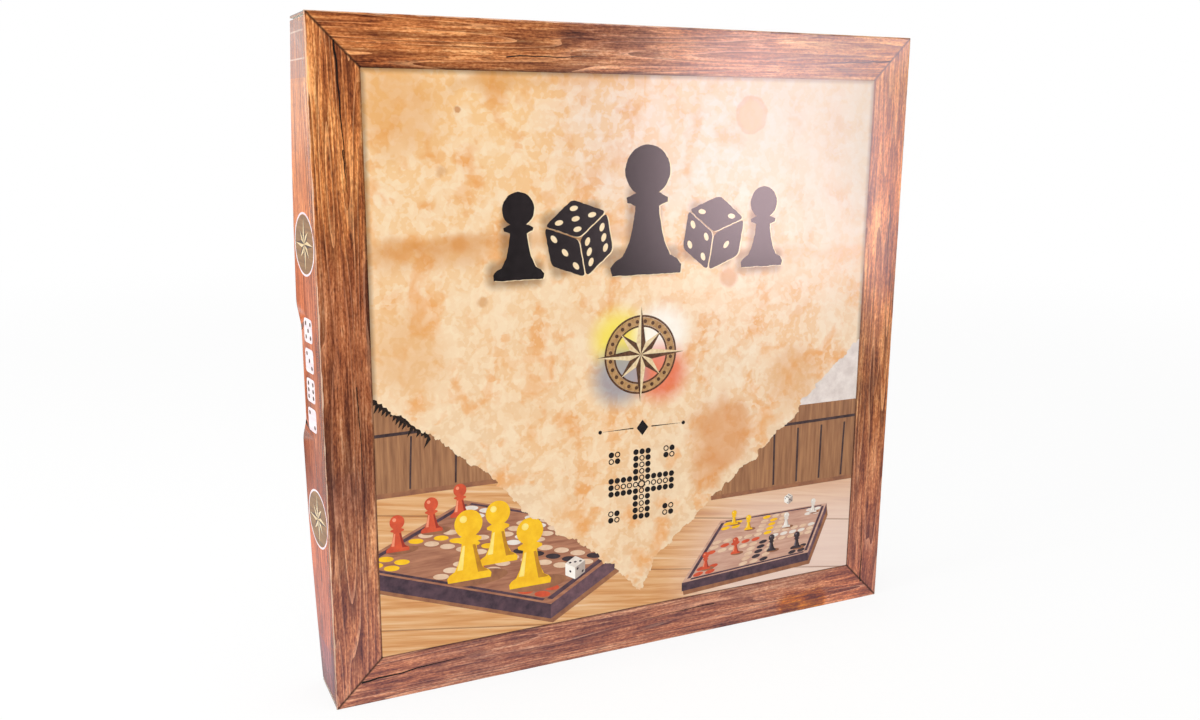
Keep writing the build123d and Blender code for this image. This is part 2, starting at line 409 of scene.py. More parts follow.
# %% Lid skin
def merged_copy(node_name, piece_name):
    """A copy of a frame node with its loose triangles merged into one skin, which stands for the node."""
    piece = nodes[node_name].copy()
    piece.data = nodes[node_name].data.copy()
    piece.name = piece_name
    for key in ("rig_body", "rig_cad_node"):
        del piece[key]
    piece.parent = None
    bpy.context.scene.collection.objects.link(piece)
    piece.data.materials.clear()
    bpy.context.view_layer.objects.active = piece
    piece.select_set(True)
    bpy.ops.object.mode_set(mode="EDIT")
    bpy.ops.mesh.select_all(action="SELECT")
    bpy.ops.mesh.remove_doubles(threshold=0.2 * HAIR)
    bpy.ops.mesh.tris_convert_to_quads(face_threshold=math.radians(1), shape_threshold=math.radians(180))
    bpy.ops.mesh.select_all(action="DESELECT")
    bpy.ops.object.mode_set(mode="OBJECT")
    return piece


def select_faces(piece, test):
    """Select the faces whose centre and normal pass a test, and stay in edit mode."""
    bpy.ops.object.mode_set(mode="OBJECT")
    for part in (piece.data.vertices, piece.data.edges, piece.data.polygons):
        part.foreach_set("select", [False] * len(part))
    for face in piece.data.polygons:
        if test(face.center, face.normal):
            face.select = True
    bpy.ops.object.mode_set(mode="EDIT")
    bpy.ops.mesh.select_mode(type="FACE")


def is_front(centre, normal):
    """Whether a face lies in the flat printed front."""
    return normal.y < -0.9 and centre.y < CARD_FRONT + HAIR


lid_card = merged_copy("lid", "lid_card")
cut_lines = [((s * PANEL_HALF, 0, MIDDLE_Z), (1, 0, 0)) for s in (-1, 1)]
cut_lines += [((0, 0, MIDDLE_Z + s * PANEL_HALF), (0, 0, 1)) for s in (-1, 1)]
cut_lines += [((0, 0, MIDDLE_Z), (1, 0, s)) for s in (-1, 1)]
for point, normal in cut_lines:
    select_faces(lid_card, is_front)
    bpy.ops.mesh.bisect(plane_co=point, plane_no=normal, use_fill=False)
bpy.ops.object.mode_set(mode="OBJECT")
for vertex in lid_card.data.vertices:
    vertex.co.y = max(vertex.co.y, CARD_FRONT)
print("lid skin:", len(lid_card.data.polygons), "faces")

# %% [markdown]
# A face on the inside of the lid looks towards the middle of the box or to the back. A face at the
# free edge, at a thumb notch or at the end of a side wall is cut card. All other faces are print.

# %% Lid finishes by face
FINISHES = ("frame print", "panel print", "white card", "cut card")
FRAME_PRINT, PANEL_PRINT, WHITE_CARD, CUT_CARD = range(4)
STEEP = 0.6  # a normal with more than this along an axis faces that way
PANEL_DEPTH = 1.2 * MM  # in front of this lies the outer half of the front card
WALL_DEPTH = 2.2 * MM  # behind this begin the walls, past the rounded folds
OUTER_SKIN = 0.9 * MM  # faces nearer than this to the outside are the outside


def lid_finish(centre, normal):
    """Which of the four finishes a face of the lid has, as a number."""
    out = Vector((centre.x, 0, centre.z - MIDDLE_Z))
    reach = max(abs(out.x), abs(out.z))
    if is_front(centre, normal):
        return PANEL_PRINT if reach < PANEL_HALF else FRAME_PRINT
    on_wall = centre.y > FRONT_Y + WALL_DEPTH
    if abs(normal.y) > STEEP and on_wall:
        return CUT_CARD
    side_wall = abs(out.x) > HALF - 2 * MM
    if on_wall and side_wall and abs(normal.z) > STEEP and abs(out.z) < HALF - 0.5 * MM:
        return CUT_CARD
    if centre.y < FRONT_Y + PANEL_DEPTH:
        return FRAME_PRINT
    main = Vector((out.x, 0, 0)) if abs(out.x) > abs(out.z) else Vector((0, 0, out.z))
    outward = Vector((normal.x, 0, normal.z)).dot(main) > 0
    return FRAME_PRINT if outward and reach > HALF - OUTER_SKIN else WHITE_CARD


for face in lid_card.data.polygons:
    face.material_index = lid_finish(face.center, face.normal)
for number, name in enumerate(FINISHES):
    print(name, sum(face.material_index == number for face in lid_card.data.polygons), "faces")

# %% [markdown]
# The print of the wood follows its bar, so it needs coordinates that run along and across each bar
# and go on over the fold. They are written to a UV map in millimetres: u runs along the bar, and v is
# the distance outwards from the middle of the front, plus the depth behind it once the wall turns.

# %% Grain map
BAR_SHIFT = 500.0  # millimetres between the grain of one bar and that of the next
grain_map = lid_card.data.uv_layers.new(name="grain")
for face in lid_card.data.polygons:
    x, z = face.center.x, face.center.z - MIDDLE_Z
    upright = abs(x) > abs(z)
    bar = (0 if x < 0 else 1) if upright else (2 if z > 0 else 3)
    for corner in face.loop_indices:
        point = lid_card.data.vertices[lid_card.data.loops[corner].vertex_index].co
        along = point.z - MIDDLE_Z if upright else point.x
        outward = abs(point.x) if upright else abs(point.z - MIDDLE_Z)
        outward += point.y - FRONT_Y
        grain_map.data[corner].uv = (along / MM, outward / MM + bar * BAR_SHIFT)
print("grain map written for", len(lid_card.data.polygons), "faces")

# %% [markdown]
# The frame is offset print of old softwood on card. Growth rings run along each board as lines a few
# millimetres apart, pale on one side and dark on the other. Between them lie streaks of 2.4 mm, fibres
# of 0.9 mm and specks of about a millimetre, over broad clouds of lighter and darker wood, with burnt
# patches and pores on top. All of them are the same kind of noise, stretched along the bar by another
# length and width. The glossy film over the print gives it one even gloss.

# %% Stretched noise, rings and film
GRAIN_CLOUD = (70, 14)  # millimetres along and across the bar
GRAIN_RING = (560, 30)
GRAIN_RING_FADE = (90, 7)
GRAIN_STREAK = (60, 2.4)
GRAIN_FIBRE = (17, 0.9)
GRAIN_SPECK = (2.6, 1.2)
GRAIN_BURN = (24, 8)
GRAIN_PORE = (4.5, 0.8)
# size of the noise that decides the width of the pale fold line: worn print and painted highlight
GRAIN_WEAR_AND_HIGHLIGHT = (22, 6)
FILM_ROUGHNESS = 0.22
FILM_IOR = 1.5


def grain_noise(tree, grain, size, detail, distortion=0.0):
    """Noise stretched along the bar: size is its length and width in millimetres."""
    scaled = add_node(tree, VECTOR_MATH, {0: grain, 1: (1 / size[0], 1 / size[1], 1)}, operation="MULTIPLY")
    return add_node(
        tree, NOISE_TEX,
        {"Vector": scaled, "Scale": 1.0, "Detail": detail, "Roughness": 0.6, "Distortion": distortion},
    )


def ring_saw(tree, base, count):
    """A value that rises from 0 to 1 between one growth ring and the next, bent by a noise."""
    steps = add_node(tree, MATH, {0: base, 1: count}, operation="MULTIPLY")
    return add_node(tree, MATH, {0: steps}, operation="FRACT")


def ring_lines(tree, saw, start, end):
    """A line along each growth ring, from start to end of the way to the next one."""
    return add_node(tree, MAP_RANGE, {"Value": saw, "From Min": start, "From Max": end})


def film_finish(shader):
    """The even gloss of the laminating film."""
    shader.inputs["Roughness"].default_value = FILM_ROUGHNESS
    shader.inputs["IOR"].default_value = FILM_IOR


print("the film has a roughness of", FILM_ROUGHNESS)

# %% [markdown]
# The tone of old softwood runs from a burnt brown to a pale honey. Four noises are weighed together
# into one value, and a colour ramp turns it into that tone. The rings fade in and out along the board,
# as they do where it is worn, and the burnt patches and the pores are laid over them.

# %% Wood colour
WOOD_NOISES = (  # size, detail, distortion and weight in the tone
    (GRAIN_CLOUD, 3, 0.4, 1.15),
    (GRAIN_STREAK, 2, 0.0, 0.9),
    (GRAIN_FIBRE, 3, 0.0, 1.05),
    (GRAIN_SPECK, 2, 0.0, 0.75),
)
WOOD_TONES = [(0.02, "#43200F"), (0.3, "#824926"), (0.5, "#AA6938"), (0.7, "#C98A52"), (0.98, "#EDBB80")]
RING_COUNT = 21
RINGS = (  # start and end of each line on the way to the next ring, its shade and its strength
    (0.4, 0.96, "#4A2410", 0.7),
    (0.26, 0.0, "#F0C08A", 0.45),
)
WOOD_MARKS = (  # size, detail and distortion, the noise values where a mark begins and is full, its tone
    (GRAIN_BURN, 5, 0.5, 0.54, 0.72, "#4E2A18", 0.5),
    (GRAIN_PORE, 1, 0.0, 0.58, 0.7, "#5B3019", 0.6),
)


def build_wood_colour(tree, grain, contrast):
    """The wood itself: four noises read by a ramp, with growth rings, burnt patches and pores on it."""
    noises = [grain_noise(tree, grain, size, detail, bend) for size, detail, bend, _ in WOOD_NOISES]
    total = 0.0
    for grainy, (_, _, _, weight) in zip(noises, WOOD_NOISES):
        centred = add_node(tree, MATH, {0: grainy, 1: 0.5}, operation="SUBTRACT")
        total = add_node(tree, MATH, {0: centred, 1: weight, 2: total}, operation="MULTIPLY_ADD")
    value = add_node(tree, MATH, {0: total, 1: contrast, 2: 0.5}, operation="MULTIPLY_ADD")
    ramp = add_node(tree, "ShaderNodeValToRGB", {"Fac": value})
    colour = fill_ramp(ramp, WOOD_TONES)
    saw = ring_saw(tree, grain_noise(tree, grain, GRAIN_RING, 2), RING_COUNT)
    patchy = grain_noise(tree, grain, GRAIN_RING_FADE, 2)
    fade = add_node(
        tree, MAP_RANGE, {"Value": patchy, "From Min": 0.36, "From Max": 0.6, "To Min": 0.25, "To Max": 1}
    )
    lines = [ring_lines(tree, saw, start, end) for start, end, _, _ in RINGS]
    for mask, (_, _, shade, strength) in zip(lines, RINGS):
        line = add_node(tree, MATH, {0: mask, 1: fade}, operation="MULTIPLY")
        colour = tone_over(tree, colour, line, shade, strength)
    for size, detail, bend, begins, full, shade, strength in WOOD_MARKS:
        marks = grain_noise(tree, grain, size, detail, bend)
        mask = add_node(tree, MAP_RANGE, {"Value": marks, "From Min": begins, "From Max": full})
        colour = tone_over(tree, colour, mask, shade, strength)
    return colour


print("wood tone from", len(WOOD_NOISES), "noises")

# %% [markdown]
# The four bars aren't of one tone. The wood is golden at the top left and turns to a colder brown
# below, with darker and lighter stretches between, and a small golden patch at the lower right. Each
# is a soft spot that multiplies the colour under it, so the grain stays visible in it. The spots share
# one wavering place, which keeps their borders from looking drawn. The colder brown below is partly
# painted reflection: the lowest spot makes the wood bluer, and a pale violet tint is laid over it.

# %% Tones of the bars
WOOD_GAINS = (  # centre, half size, radius and softness of a patch, and its gains in red, green and blue
    ((-230, 130), (50, 60), 30, 160, (1.54, 1.36, 1.18)),
    ((-192, -4), (6, 36), 20, 50, (0.62, 0.55, 0.7)),
    # the lowest spot is painted reflection: it makes the bottom of the frame bluer
    ((0, -330), (400, 60), 70, 180, (1.1, 1.02, 1.4)),
    ((240, -60), (20, 160), 20, 60, (1.16, 1.0, 0.92)),
    ((30, 186), (50, 4), 10, 40, (1.28, 1.3, 1.7)),
    ((225, 110), (20, 60), 20, 40, (1.22, 1.1, 0.9)),
    ((50, -215), (130, 8), 10, 34, (1.16, 1.1, 1.0)),
    ((-120, 192), (50, 6), 10, 40, (0.86, 0.82, 0.86)),
    ((160, 192), (40, 6), 10, 40, (0.92, 0.94, 0.82)),
    ((-24, 193), (20, 1), 2, 14, (0.62, 0.58, 0.62)),
    ((62, 192), (22, 1), 2, 12, (0.9, 0.9, 0.98)),
    ((-190, -98), (2, 36), 3, 12, (0.78, 0.72, 0.76)),
    ((-190, -150), (6, 20), 20, 60, (1.28, 1.24, 1.18)),
    ((134, -196), (13, 3), 4, 7, (1.02, 0.72, 0.02)),
    ((124, -197), (4, 1), 1, 4, (0.55, 0.5, 0.5)),
    ((144, -194), (5, 1), 1, 4, (0.6, 0.55, 0.5)),
    ((167, -187), (9, 4), 4, 12, (1.4, 1.45, 1.4)),
    ((191, 52), (1, 22), 2, 10, (0.8, 0.77, 0.8)),
    ((179, -68), (1, 26), 2, 9, (0.82, 0.79, 0.82)),
    ((-90, -190), (22, 1), 2, 10, (0.82, 0.8, 0.84)),
)
# A painted bluish reflection: a pale violet tint laid over the bottom of the frame.
COOL_REFLECTION_BELOW = ((0, -330), (400, 60), 70, 180)  # centre, half size, radius and softness


def tone_bars(tree, colour, place):
    """The lighter, darker and colder stretches of the bars, laid over the wood; the cold is painted
    reflection.
    """
    wavy = wobble(tree, place, 14, 9)
    for centre, half, radius, softness, gains in WOOD_GAINS:
        patch = spot(tree, wavy, centre, half, radius, softness)
        colour = tone_gain(tree, colour, patch, gains)
    return tone_over(tree, colour, spot(tree, place, *COOL_REFLECTION_BELOW), "#8F7FA0", 0.14)


print("stretches of tone:", len(WOOD_GAINS))

# %% [markdown]
# The narrow left wall has tones of its own: warm and light at the top, redder further down, with a
# brown band at its upper end and a bluish one at its lower end. Two fine pale lines edge the upper
# band. The wall is everything that lies further left than the front.

# %% Tones of the left wall
WALL_REACH = 90  # millimetres up and down over which a tone of the wall fades out
WALL_GAINS = (  # height, and its gains in red, green and blue
    (90, (1.22, 1.12, 1.1)), (10, (1.25, 1.0, 0.82)), (-95, (1.3, 0.86, 0.74)), (-185, (0.95, 0.7, 0.86)),
)
WALL_BANDS = (  # lowest and highest point, shade and strength
    (166, 210, "#8A5750", 0.5), (-210, -167, "#7A5F7C", 0.35),
    (175.5, 176.3, "#E9CDB8", 0.5), (190, 190.9, "#E9CDB8", 0.5),
)


def tone_left_wall(tree, colour, x, z):
    """The tones and the bands of the left wall, laid over the wood."""
    left = add_node(tree, MATH, {0: x, 1: -HALF / MM - 0.1}, operation="LESS_THAN")
    for level, gains in WALL_GAINS:
        near = add_node(tree, MATH, {0: z, 1: level}, operation="SUBTRACT")
        near = add_node(tree, MATH, {0: near}, operation="ABSOLUTE")
        band = add_node(
            tree, MAP_RANGE,
            {"Value": near, "From Min": 0, "From Max": WALL_REACH, "To Min": 1, "To Max": 0},
            interpolation_type="SMOOTHSTEP",
        )
        share = add_node(tree, MATH, {0: left, 1: band}, operation="MULTIPLY")
        colour = tone_gain(tree, colour, share, gains)
    for lowest, highest, shade, strength in WALL_BANDS:
        middle, half = (lowest + highest) / 2, (highest - lowest) / 2
        level = add_node(tree, MATH, {0: z, 1: middle, 2: half}, operation="COMPARE")
        strip = add_node(tree, MATH, {0: left, 1: level}, operation="MULTIPLY")
        colour = tone_over(tree, colour, strip, shade, strength)
    return colour


print("bands on the left wall:", len(WALL_BANDS))

# %% [markdown]
# Dark lines mark where the boards meet at the mitres, and a soft shadow runs along the inner edge of
# the frame, as if it stood in front of the picture. Along the folds runs a pale line whose width a noise
# decides: partly worn print, where the pale core of the card shows, and partly a painted highlight of
# the rounded fold. The grain map's v tells how far outwards a point lies, and the mitres are where x and
# z are the same size.

# %% Mitres, inner edge, and wear and painted highlight on the folds
MITRE_HALF, MITRE_FADE = 0.4, 1.4  # millimetres from the mitre where the line begins and ends to fade
EDGE_SHADOW = (0.1, 2.2)  # millimetres outside the panel between which the shadow fades
# The pale line along the folds is worn print and a painted highlight on the fold.
WEAR_AND_HIGHLIGHT_WIDTH = (0.1, 0.9)  # half the width of the worn line, in millimetres
FOLD_LINE = HALF / MM + 0.3


def line_mitres(tree, colour, x, z):
    """The dark line along each mitre."""
    flat_x = add_node(tree, MATH, {0: x}, operation="ABSOLUTE")
    flat_z = add_node(tree, MATH, {0: z}, operation="ABSOLUTE")
    across = add_node(tree, MATH, {0: flat_x, 1: flat_z}, operation="SUBTRACT")
    gap = add_node(tree, MATH, {0: across}, operation="ABSOLUTE")
    mitre = add_node(
        tree, MAP_RANGE,
        {"Value": gap, "From Min": MITRE_HALF, "From Max": MITRE_FADE, "To Min": 1, "To Max": 0},
    )
    return tone_over(tree, colour, mitre, "#24130B", 0.8)


def shade_inner_edge(tree, colour, on_bar):
    """The soft shadow along the inner edge of the frame."""
    inner = add_node(
        tree, MAP_RANGE, {"Value": on_bar, "From Min": PANEL_HALF / MM + EDGE_SHADOW[0],
         "From Max": PANEL_HALF / MM + EDGE_SHADOW[1], "To Min": 1, "To Max": 0},
        interpolation_type="SMOOTHSTEP",
    )
    return tone_over(tree, colour, inner, "#2A150C", 0.75)


def wear_and_highlight_folds(tree, colour, grain, on_bar):
    """The pale line along each fold: bare card where the print is worn, and a painted highlight."""
    from_fold = add_node(tree, MATH, {0: on_bar, 1: FOLD_LINE}, operation="SUBTRACT")
    fold_gap = add_node(tree, MATH, {0: from_fold}, operation="ABSOLUTE")
    ragged = grain_noise(tree, grain, GRAIN_WEAR_AND_HIGHLIGHT, 3)
    width = add_node(
        tree, MAP_RANGE, {"Value": ragged, "From Min": 0.38, "From Max": 0.6, "To Min": WEAR_AND_HIGHLIGHT_WIDTH[0],
         "To Max": WEAR_AND_HIGHLIGHT_WIDTH[1]},
    )
    # Paint the fold pale: partly worn print, partly a painted highlight of the rounded fold.
    worn_and_lit = add_node(tree, MATH, {0: fold_gap, 1: width}, operation="LESS_THAN")
    return tone_over(tree, colour, worn_and_lit, "#EBC4A6", 0.7)


print("the folds lie", FOLD_LINE, "mm from the middle of the front")

# %% [markdown]
# Now the wood print is put together: the wood, the tones of the bars with their painted reflection
# below and of the left wall, the mitres, the shadow, and the wear with its painted highlight. The grain
# is a little stronger where the veil lies over it, and only half as strong on the left wall, which is
# seen at a slant.

# %% Wood print
VEILED = ((200, 150), (70, 50), 20, 80)  # centre, half size, radius and softness
CONTRAST = (1.1, 1.2)  # of the grain, outside the veil and under it
WALL_CONTRAST = 0.5


def build_wood_print():
    """Old softwood in offset print on laminated card."""
    material, tree, shader = new_material("laminated wood print")
    film_finish(shader)
    grain = add_node(tree, "ShaderNodeUVMap", uv_map="grain").outputs["UV"]
    place = print_place(tree)
    x, y, z = add_node(tree, "ShaderNodeSeparateXYZ", {0: place}).outputs
    veiled = spot(tree, place, *VEILED)
    on_front = add_node(tree, MAP_RANGE, {"Value": veiled, "To Min": CONTRAST[0], "To Max": CONTRAST[1]})
    on_wall = add_node(
        tree, MAP_RANGE, {"Value": x, "From Min": -200.8, "From Max": -200, "To Min": WALL_CONTRAST,
         "To Max": 2},
    )
    contrast = add_node(tree, MATH, {0: on_front, 1: on_wall}, operation="MINIMUM")
    colour = build_wood_colour(tree, grain, contrast)
    colour = tone_bars(tree, colour, place)
    colour = tone_left_wall(tree, colour, x, z)
    colour = line_mitres(tree, colour, x, z)
    outward = add_node(tree, "ShaderNodeSeparateXYZ", {0: grain}).outputs["Y"]
    on_bar = add_node(tree, MATH, {0: outward, 1: BAR_SHIFT}, operation="MODULO")
    colour = shade_inner_edge(tree, colour, on_bar)
    colour = wear_and_highlight_folds(tree, colour, grain, on_bar)
    tree.links.new(colour, shader.inputs["Base Color"])
    return material


wood_print = build_wood_print()
print("wood print:", len(wood_print.node_tree.nodes), "nodes")

# %% [markdown]
# Inside the frame the card is printed with pale table planks, which show where nothing else covers
# them. They are drawn with the same stretched noise as the wood, turned a little, with dark seams.
# Towards the lower right they are paler, as in lamplight.

# %% Plank print
PLANK_WIDTH = 36.0
PLANK_TURN = math.radians(-9)
PLANK_STREAK = (75, 3.2)
PLANK_TONES = [(0.3, "#C98750"), (0.45, "#DA9F66"), (0.58, "#E6B683"), (0.74, "#F0D0AC")]
PALE_PLANKS = ((150, -168), (50, 10), 10, 80)  # centre, half size, radius and softness
SEAM_HALF, SEAM_FADE = 0.3, 1.2


def build_plank_print():
    """A pale plank table in offset print on laminated card."""
    material, tree, shader = new_material("laminated plank print")
    film_finish(shader)
    place = print_place(tree)
    angled = add_node(
        tree, "ShaderNodeVectorRotate", {"Vector": place, "Angle": PLANK_TURN}, rotation_type="Y_AXIS"
    )
    x, y, z = add_node(tree, "ShaderNodeSeparateXYZ", {0: angled}).outputs
    flat = add_node(tree, "ShaderNodeCombineXYZ", {"X": x, "Y": z})
    streak = grain_noise(tree, flat, PLANK_STREAK, 4, 0.4)
    ramp = add_node(tree, "ShaderNodeValToRGB", {"Fac": streak})
    colour = fill_ramp(ramp, PLANK_TONES)
    colour = tone_over(tree, colour, spot(tree, place, *PALE_PLANKS), "#F0DAD0", 0.8)
    rows = add_node(tree, MATH, {0: z, 1: PLANK_WIDTH, 2: 0.0}, operation="WRAP")
    seam = add_node(
        tree, MAP_RANGE,
        {"Value": rows, "From Min": SEAM_HALF, "From Max": SEAM_FADE, "To Min": 1, "To Max": 0},
    )
    colour = tone_over(tree, colour, seam, "#8A5A38", 0.7)
    tree.links.new(colour, shader.inputs["Base Color"])
    return material


plank_print = build_plank_print()
print("plank print:", len(plank_print.node_tree.nodes), "nodes")

# %% [markdown]
# Every printed figure starts as an outline: a list of points in millimetres. Outlines can be turned
# and moved, get round corners, or be pushed about by a noise, because rough print and torn paper have
# no straight edges. The noise gets a fixed seed, so that every run draws the same edges.

# %% Outlines
NOISE_SEED = 4
noise.seed_set(NOISE_SEED)  # without a seed, noise vectors differ from run to run
FINER = 2.7  # the second noise of a push is this many times finer, and half as strong
FINER_SEED = 7  # and starts this much further on


def disc(x, z, radius, corners=32):
    """The outline of a disc."""
    turns = [math.tau * k / corners for k in range(corners)]
    return [(x + radius * math.cos(t), z + radius * math.sin(t)) for t in turns]


def turned(outline, degrees, x=0.0, z=0.0):
    """An outline turned about its own origin and then moved to x, z."""
    c, s = math.cos(math.radians(degrees)), math.sin(math.radians(degrees))
    return [(x + px * c - pz * s, z + px * s + pz * c) for px, pz in outline]


def rounded(outline, radius, steps=4):
    """An outline with each corner replaced by a short curve."""
    smooth = []
    for k, corner in enumerate(outline):
        here = Vector(corner)
        before = (Vector(outline[k - 1]) - here).normalized() * radius + here
        after = (Vector(outline[(k + 1) % len(outline)]) - here).normalized() * radius + here
        for step in range(steps + 1):
            t = step / steps
            point = before * (1 - t) ** 2 + here * 2 * t * (1 - t) + after * t**2
            smooth.append((point.x, point.y))
    return smooth


def pushed(outline, amount, size, seed, step=1.0, keep=None):
    """An outline whose sides are divided and whose points are pushed about by a noise."""
    rough = []
    for k, start in enumerate(outline):
        a, b = Vector(start), Vector(outline[(k + 1) % len(outline)])
        straight = keep is not None and keep(a) and keep(b)
        count = 1 if straight else max(1, int((b - a).length / step))
        for j in range(count):
            point = a.lerp(b, j / count)
            if keep is None or not keep(point):
                x, z = point.x / size, point.y / size
                push = noise.noise_vector(Vector((x, z, seed)))
                push += 0.5 * noise.noise_vector(Vector((x * FINER, z * FINER, seed + FINER_SEED)))
                point = point + amount * Vector((push.x, push.y))
            rough.append((point.x, point.y))
    return rough


print("a disc is drawn with", len(disc(0, 0, 1)), "points")

# %% [markdown]
# The printed figures are real pieces: skins of ink a few hundredths of a millimetre thick, each cut
# to its outline. A flat curve with closed splines is a quick way to make such a skin, because Blender
# fills it, leaves a hole where one outline lies inside another, and gives it thickness. The curve is
# then made a mesh, turned to face the front and merged. Figures that overlap lie in layers, as prints
# do. The ink itself has two close tones in small clouds, which breaks up large even areas.

# %% Skins of ink
LAYERS = (  # from the card outwards
    "backdrop", "board", "field", "shadow", "far", "far_tone", "piece", "piece_tone", "paper", "ink",
    "ink_top",
)


def skin(name, outlines, layer, material, body="lid", front=None):
    """A thin closed skin of one material, cut to outlines in millimetres from the middle of the front."""
    curve = bpy.data.curves.new(name, "CURVE")
    curve.dimensions = "2D"
    curve.fill_mode = "BOTH"
    curve.extrude = 0.45 * INK_STEP
    for outline in outlines:
        spline = curve.splines.new("POLY")
        spline.points.add(len(outline) - 1)
        for point, (x, z) in zip(spline.points, outline):
            point.co = (x * MM, z * MM, 0, 1)
        spline.use_cyclic_u = True
    piece = bpy.data.objects.new(name, curve)
    bpy.context.scene.collection.objects.link(piece)
    depth = (CARD_FRONT if front is None else front) - (LAYERS.index(layer) + 0.5) * INK_STEP
    piece.location = (0, depth, MIDDLE_Z)
    piece.rotation_euler.x = math.radians(90)
    bpy.context.view_layer.objects.active = piece
    piece.select_set(True)
    bpy.ops.object.convert(target="MESH")
    bpy.ops.object.transform_apply(location=True, rotation=True, scale=True)
    bpy.ops.object.mode_set(mode="EDIT")
    bpy.ops.mesh.select_all(action="SELECT")
    bpy.ops.mesh.remove_doubles(threshold=0.1 * INK_STEP)
    bpy.ops.object.mode_set(mode="OBJECT")
    piece = bpy.context.object
    piece.data.materials.clear()
    piece.data.materials.append(material)
    piece.select_set(False)
    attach(piece, body)
    return piece


def build_ink(name, light_hex, dark_hex, size=6.0, stretch=(1, 1)):
    """Offset ink under film: two close tones in clouds of that size in millimetres."""
    material, tree, shader = new_material(name)
    film_finish(shader)
    place = print_place(tree)
    scaled = add_node(
        tree, VECTOR_MATH,
        {0: place, 1: (1 / (size * stretch[0]), 1, 1 / (size * stretch[1]))}, operation="MULTIPLY",
    )
    clouds = add_node(tree, NOISE_TEX, {"Vector": scaled, "Scale": 1.0, "Detail": 4, "Roughness": 0.6})
    ramp = add_node(tree, "ShaderNodeValToRGB", {"Fac": clouds})
    tree.links.new(fill_ramp(ramp, [(0.35, dark_hex), (0.65, light_hex)]), shader.inputs["Base Color"])
    return material


print("skins are", round(INK_STEP / MM, 3), "mm thick, in", len(LAYERS), "layers")

# %% [markdown]
# Long cracks run into the wooden bars of the print, wide where they open and thin at their end. Each is
# a tapered outline whose points are pushed about a little, so that it wanders with the grain.

# %% Cracks in the frame
CRACKS = (  # place of the wide end in millimetres, length, direction in degrees, width
    ((-185.4, 185.8), 76, -86.4, 1.15),
    ((-182.5, 128), 24, -86, 0.7),
    ((184.6, 184.4), 68, 182.8, 1.2),
    ((-184.8, -185.6), 68, 3.5, 1.2),
    ((185.5, -187), 60, 93, 1.1),
    ((-88, 179.5), 62, 2, 0.7),
    ((191, 96), 66, 271, 0.6),
    ((-180, -4), 70, 271, 0.6),
    ((60, -180.5), 58, 181, 0.6),
)
CRACK_POINTS = 14


def crack_outline(start, length, degrees, width):
    """The outline of a crack that narrows from its start to nothing."""
    steps = [k / CRACK_POINTS for k in range(CRACK_POINTS)]
    upper = [(length * t, width / 2 * (1 - t) ** 0.6) for t in steps]
    lower = [(x, -z) for x, z in reversed(upper)]
    return pushed(turned(upper + [(length, 0)] + lower, degrees, *start), 0.9, 13, 2, step=4)


crack_ink = build_ink("dark crack ink under film", "#2B170D", "#170B07", 2)
skin("frame_cracks", [crack_outline(*crack) for crack in CRACKS], "backdrop", crack_ink)
print("cracks:", len(CRACKS))

# %% [markdown]
# Old paper has marks of many sizes. This print shows pale flakes of 3.6 to 17 mm, warm marks of 9 and
# 19 mm near its orange blotches, and the thin veins that dried stains leave. Each is drawn as a mask,
# from a noise of that size, and a tone laid on where the mask is white.

# %% Flakes, marks and veins of the old paper
CLUSTER_SIZE, VEIN_SIZE = 42, 34
FLAKES = ((17, 0.5, 0.57, 0.4), (7.5, 0.51, 0.56, 0.42), (3.6, 0.54, 0.59, 0.28))
WARM_MARKS = ((19, 0.56, 0.61, 0.42), (9, 0.59, 0.64, 0.5))  # size, where it begins and is full, strength


def tone_flakes(tree, colour, place):
    """Pale flakes of three sizes, in clusters."""
    cluster = add_node(tree, NOISE_TEX, {"Vector": place, "Scale": 1 / CLUSTER_SIZE, "Detail": 2})
    where = add_node(tree, MAP_RANGE, {"Value": cluster, "From Min": 0.28, "From Max": 0.44})
    for size, low, high, strength in FLAKES:
        ragged = wobble(tree, place, size / 2.5, size / 2.5)
        flake = add_node(tree, NOISE_TEX, {"Vector": ragged, "Scale": 1 / size, "Detail": 1})
        pale = add_node(
            tree, MAP_RANGE, {"Value": flake, "From Min": low, "From Max": high},
            interpolation_type="SMOOTHSTEP",
        )
        patch = add_node(tree, MATH, {0: pale, 1: where}, operation="MULTIPLY")
        colour = tone_over(tree, colour, patch, "#FAE4C3", strength)
    return colour


def tone_warm_marks(tree, colour, place, blotch):
    """Warm marks of two sizes, only near the orange blotches."""
    for size, low, high, strength in WARM_MARKS:
        ragged = wobble(tree, place, size / 2, size / 1.6)
        mark = add_node(tree, NOISE_TEX, {"Vector": ragged, "Scale": 1 / size, "Detail": 1.5})
        warm = add_node(
            tree, MAP_RANGE, {"Value": mark.outputs["Color"], "From Min": low, "From Max": high},
            interpolation_type="SMOOTHSTEP",
        )
        near = add_node(tree, MAP_RANGE, {"Value": blotch, "From Min": 0.44, "From Max": 0.54})
        patch = add_node(tree, MATH, {0: warm, 1: near}, operation="MULTIPLY")
        colour = tone_over(tree, colour, patch, "#EDA963", strength)
    return colour


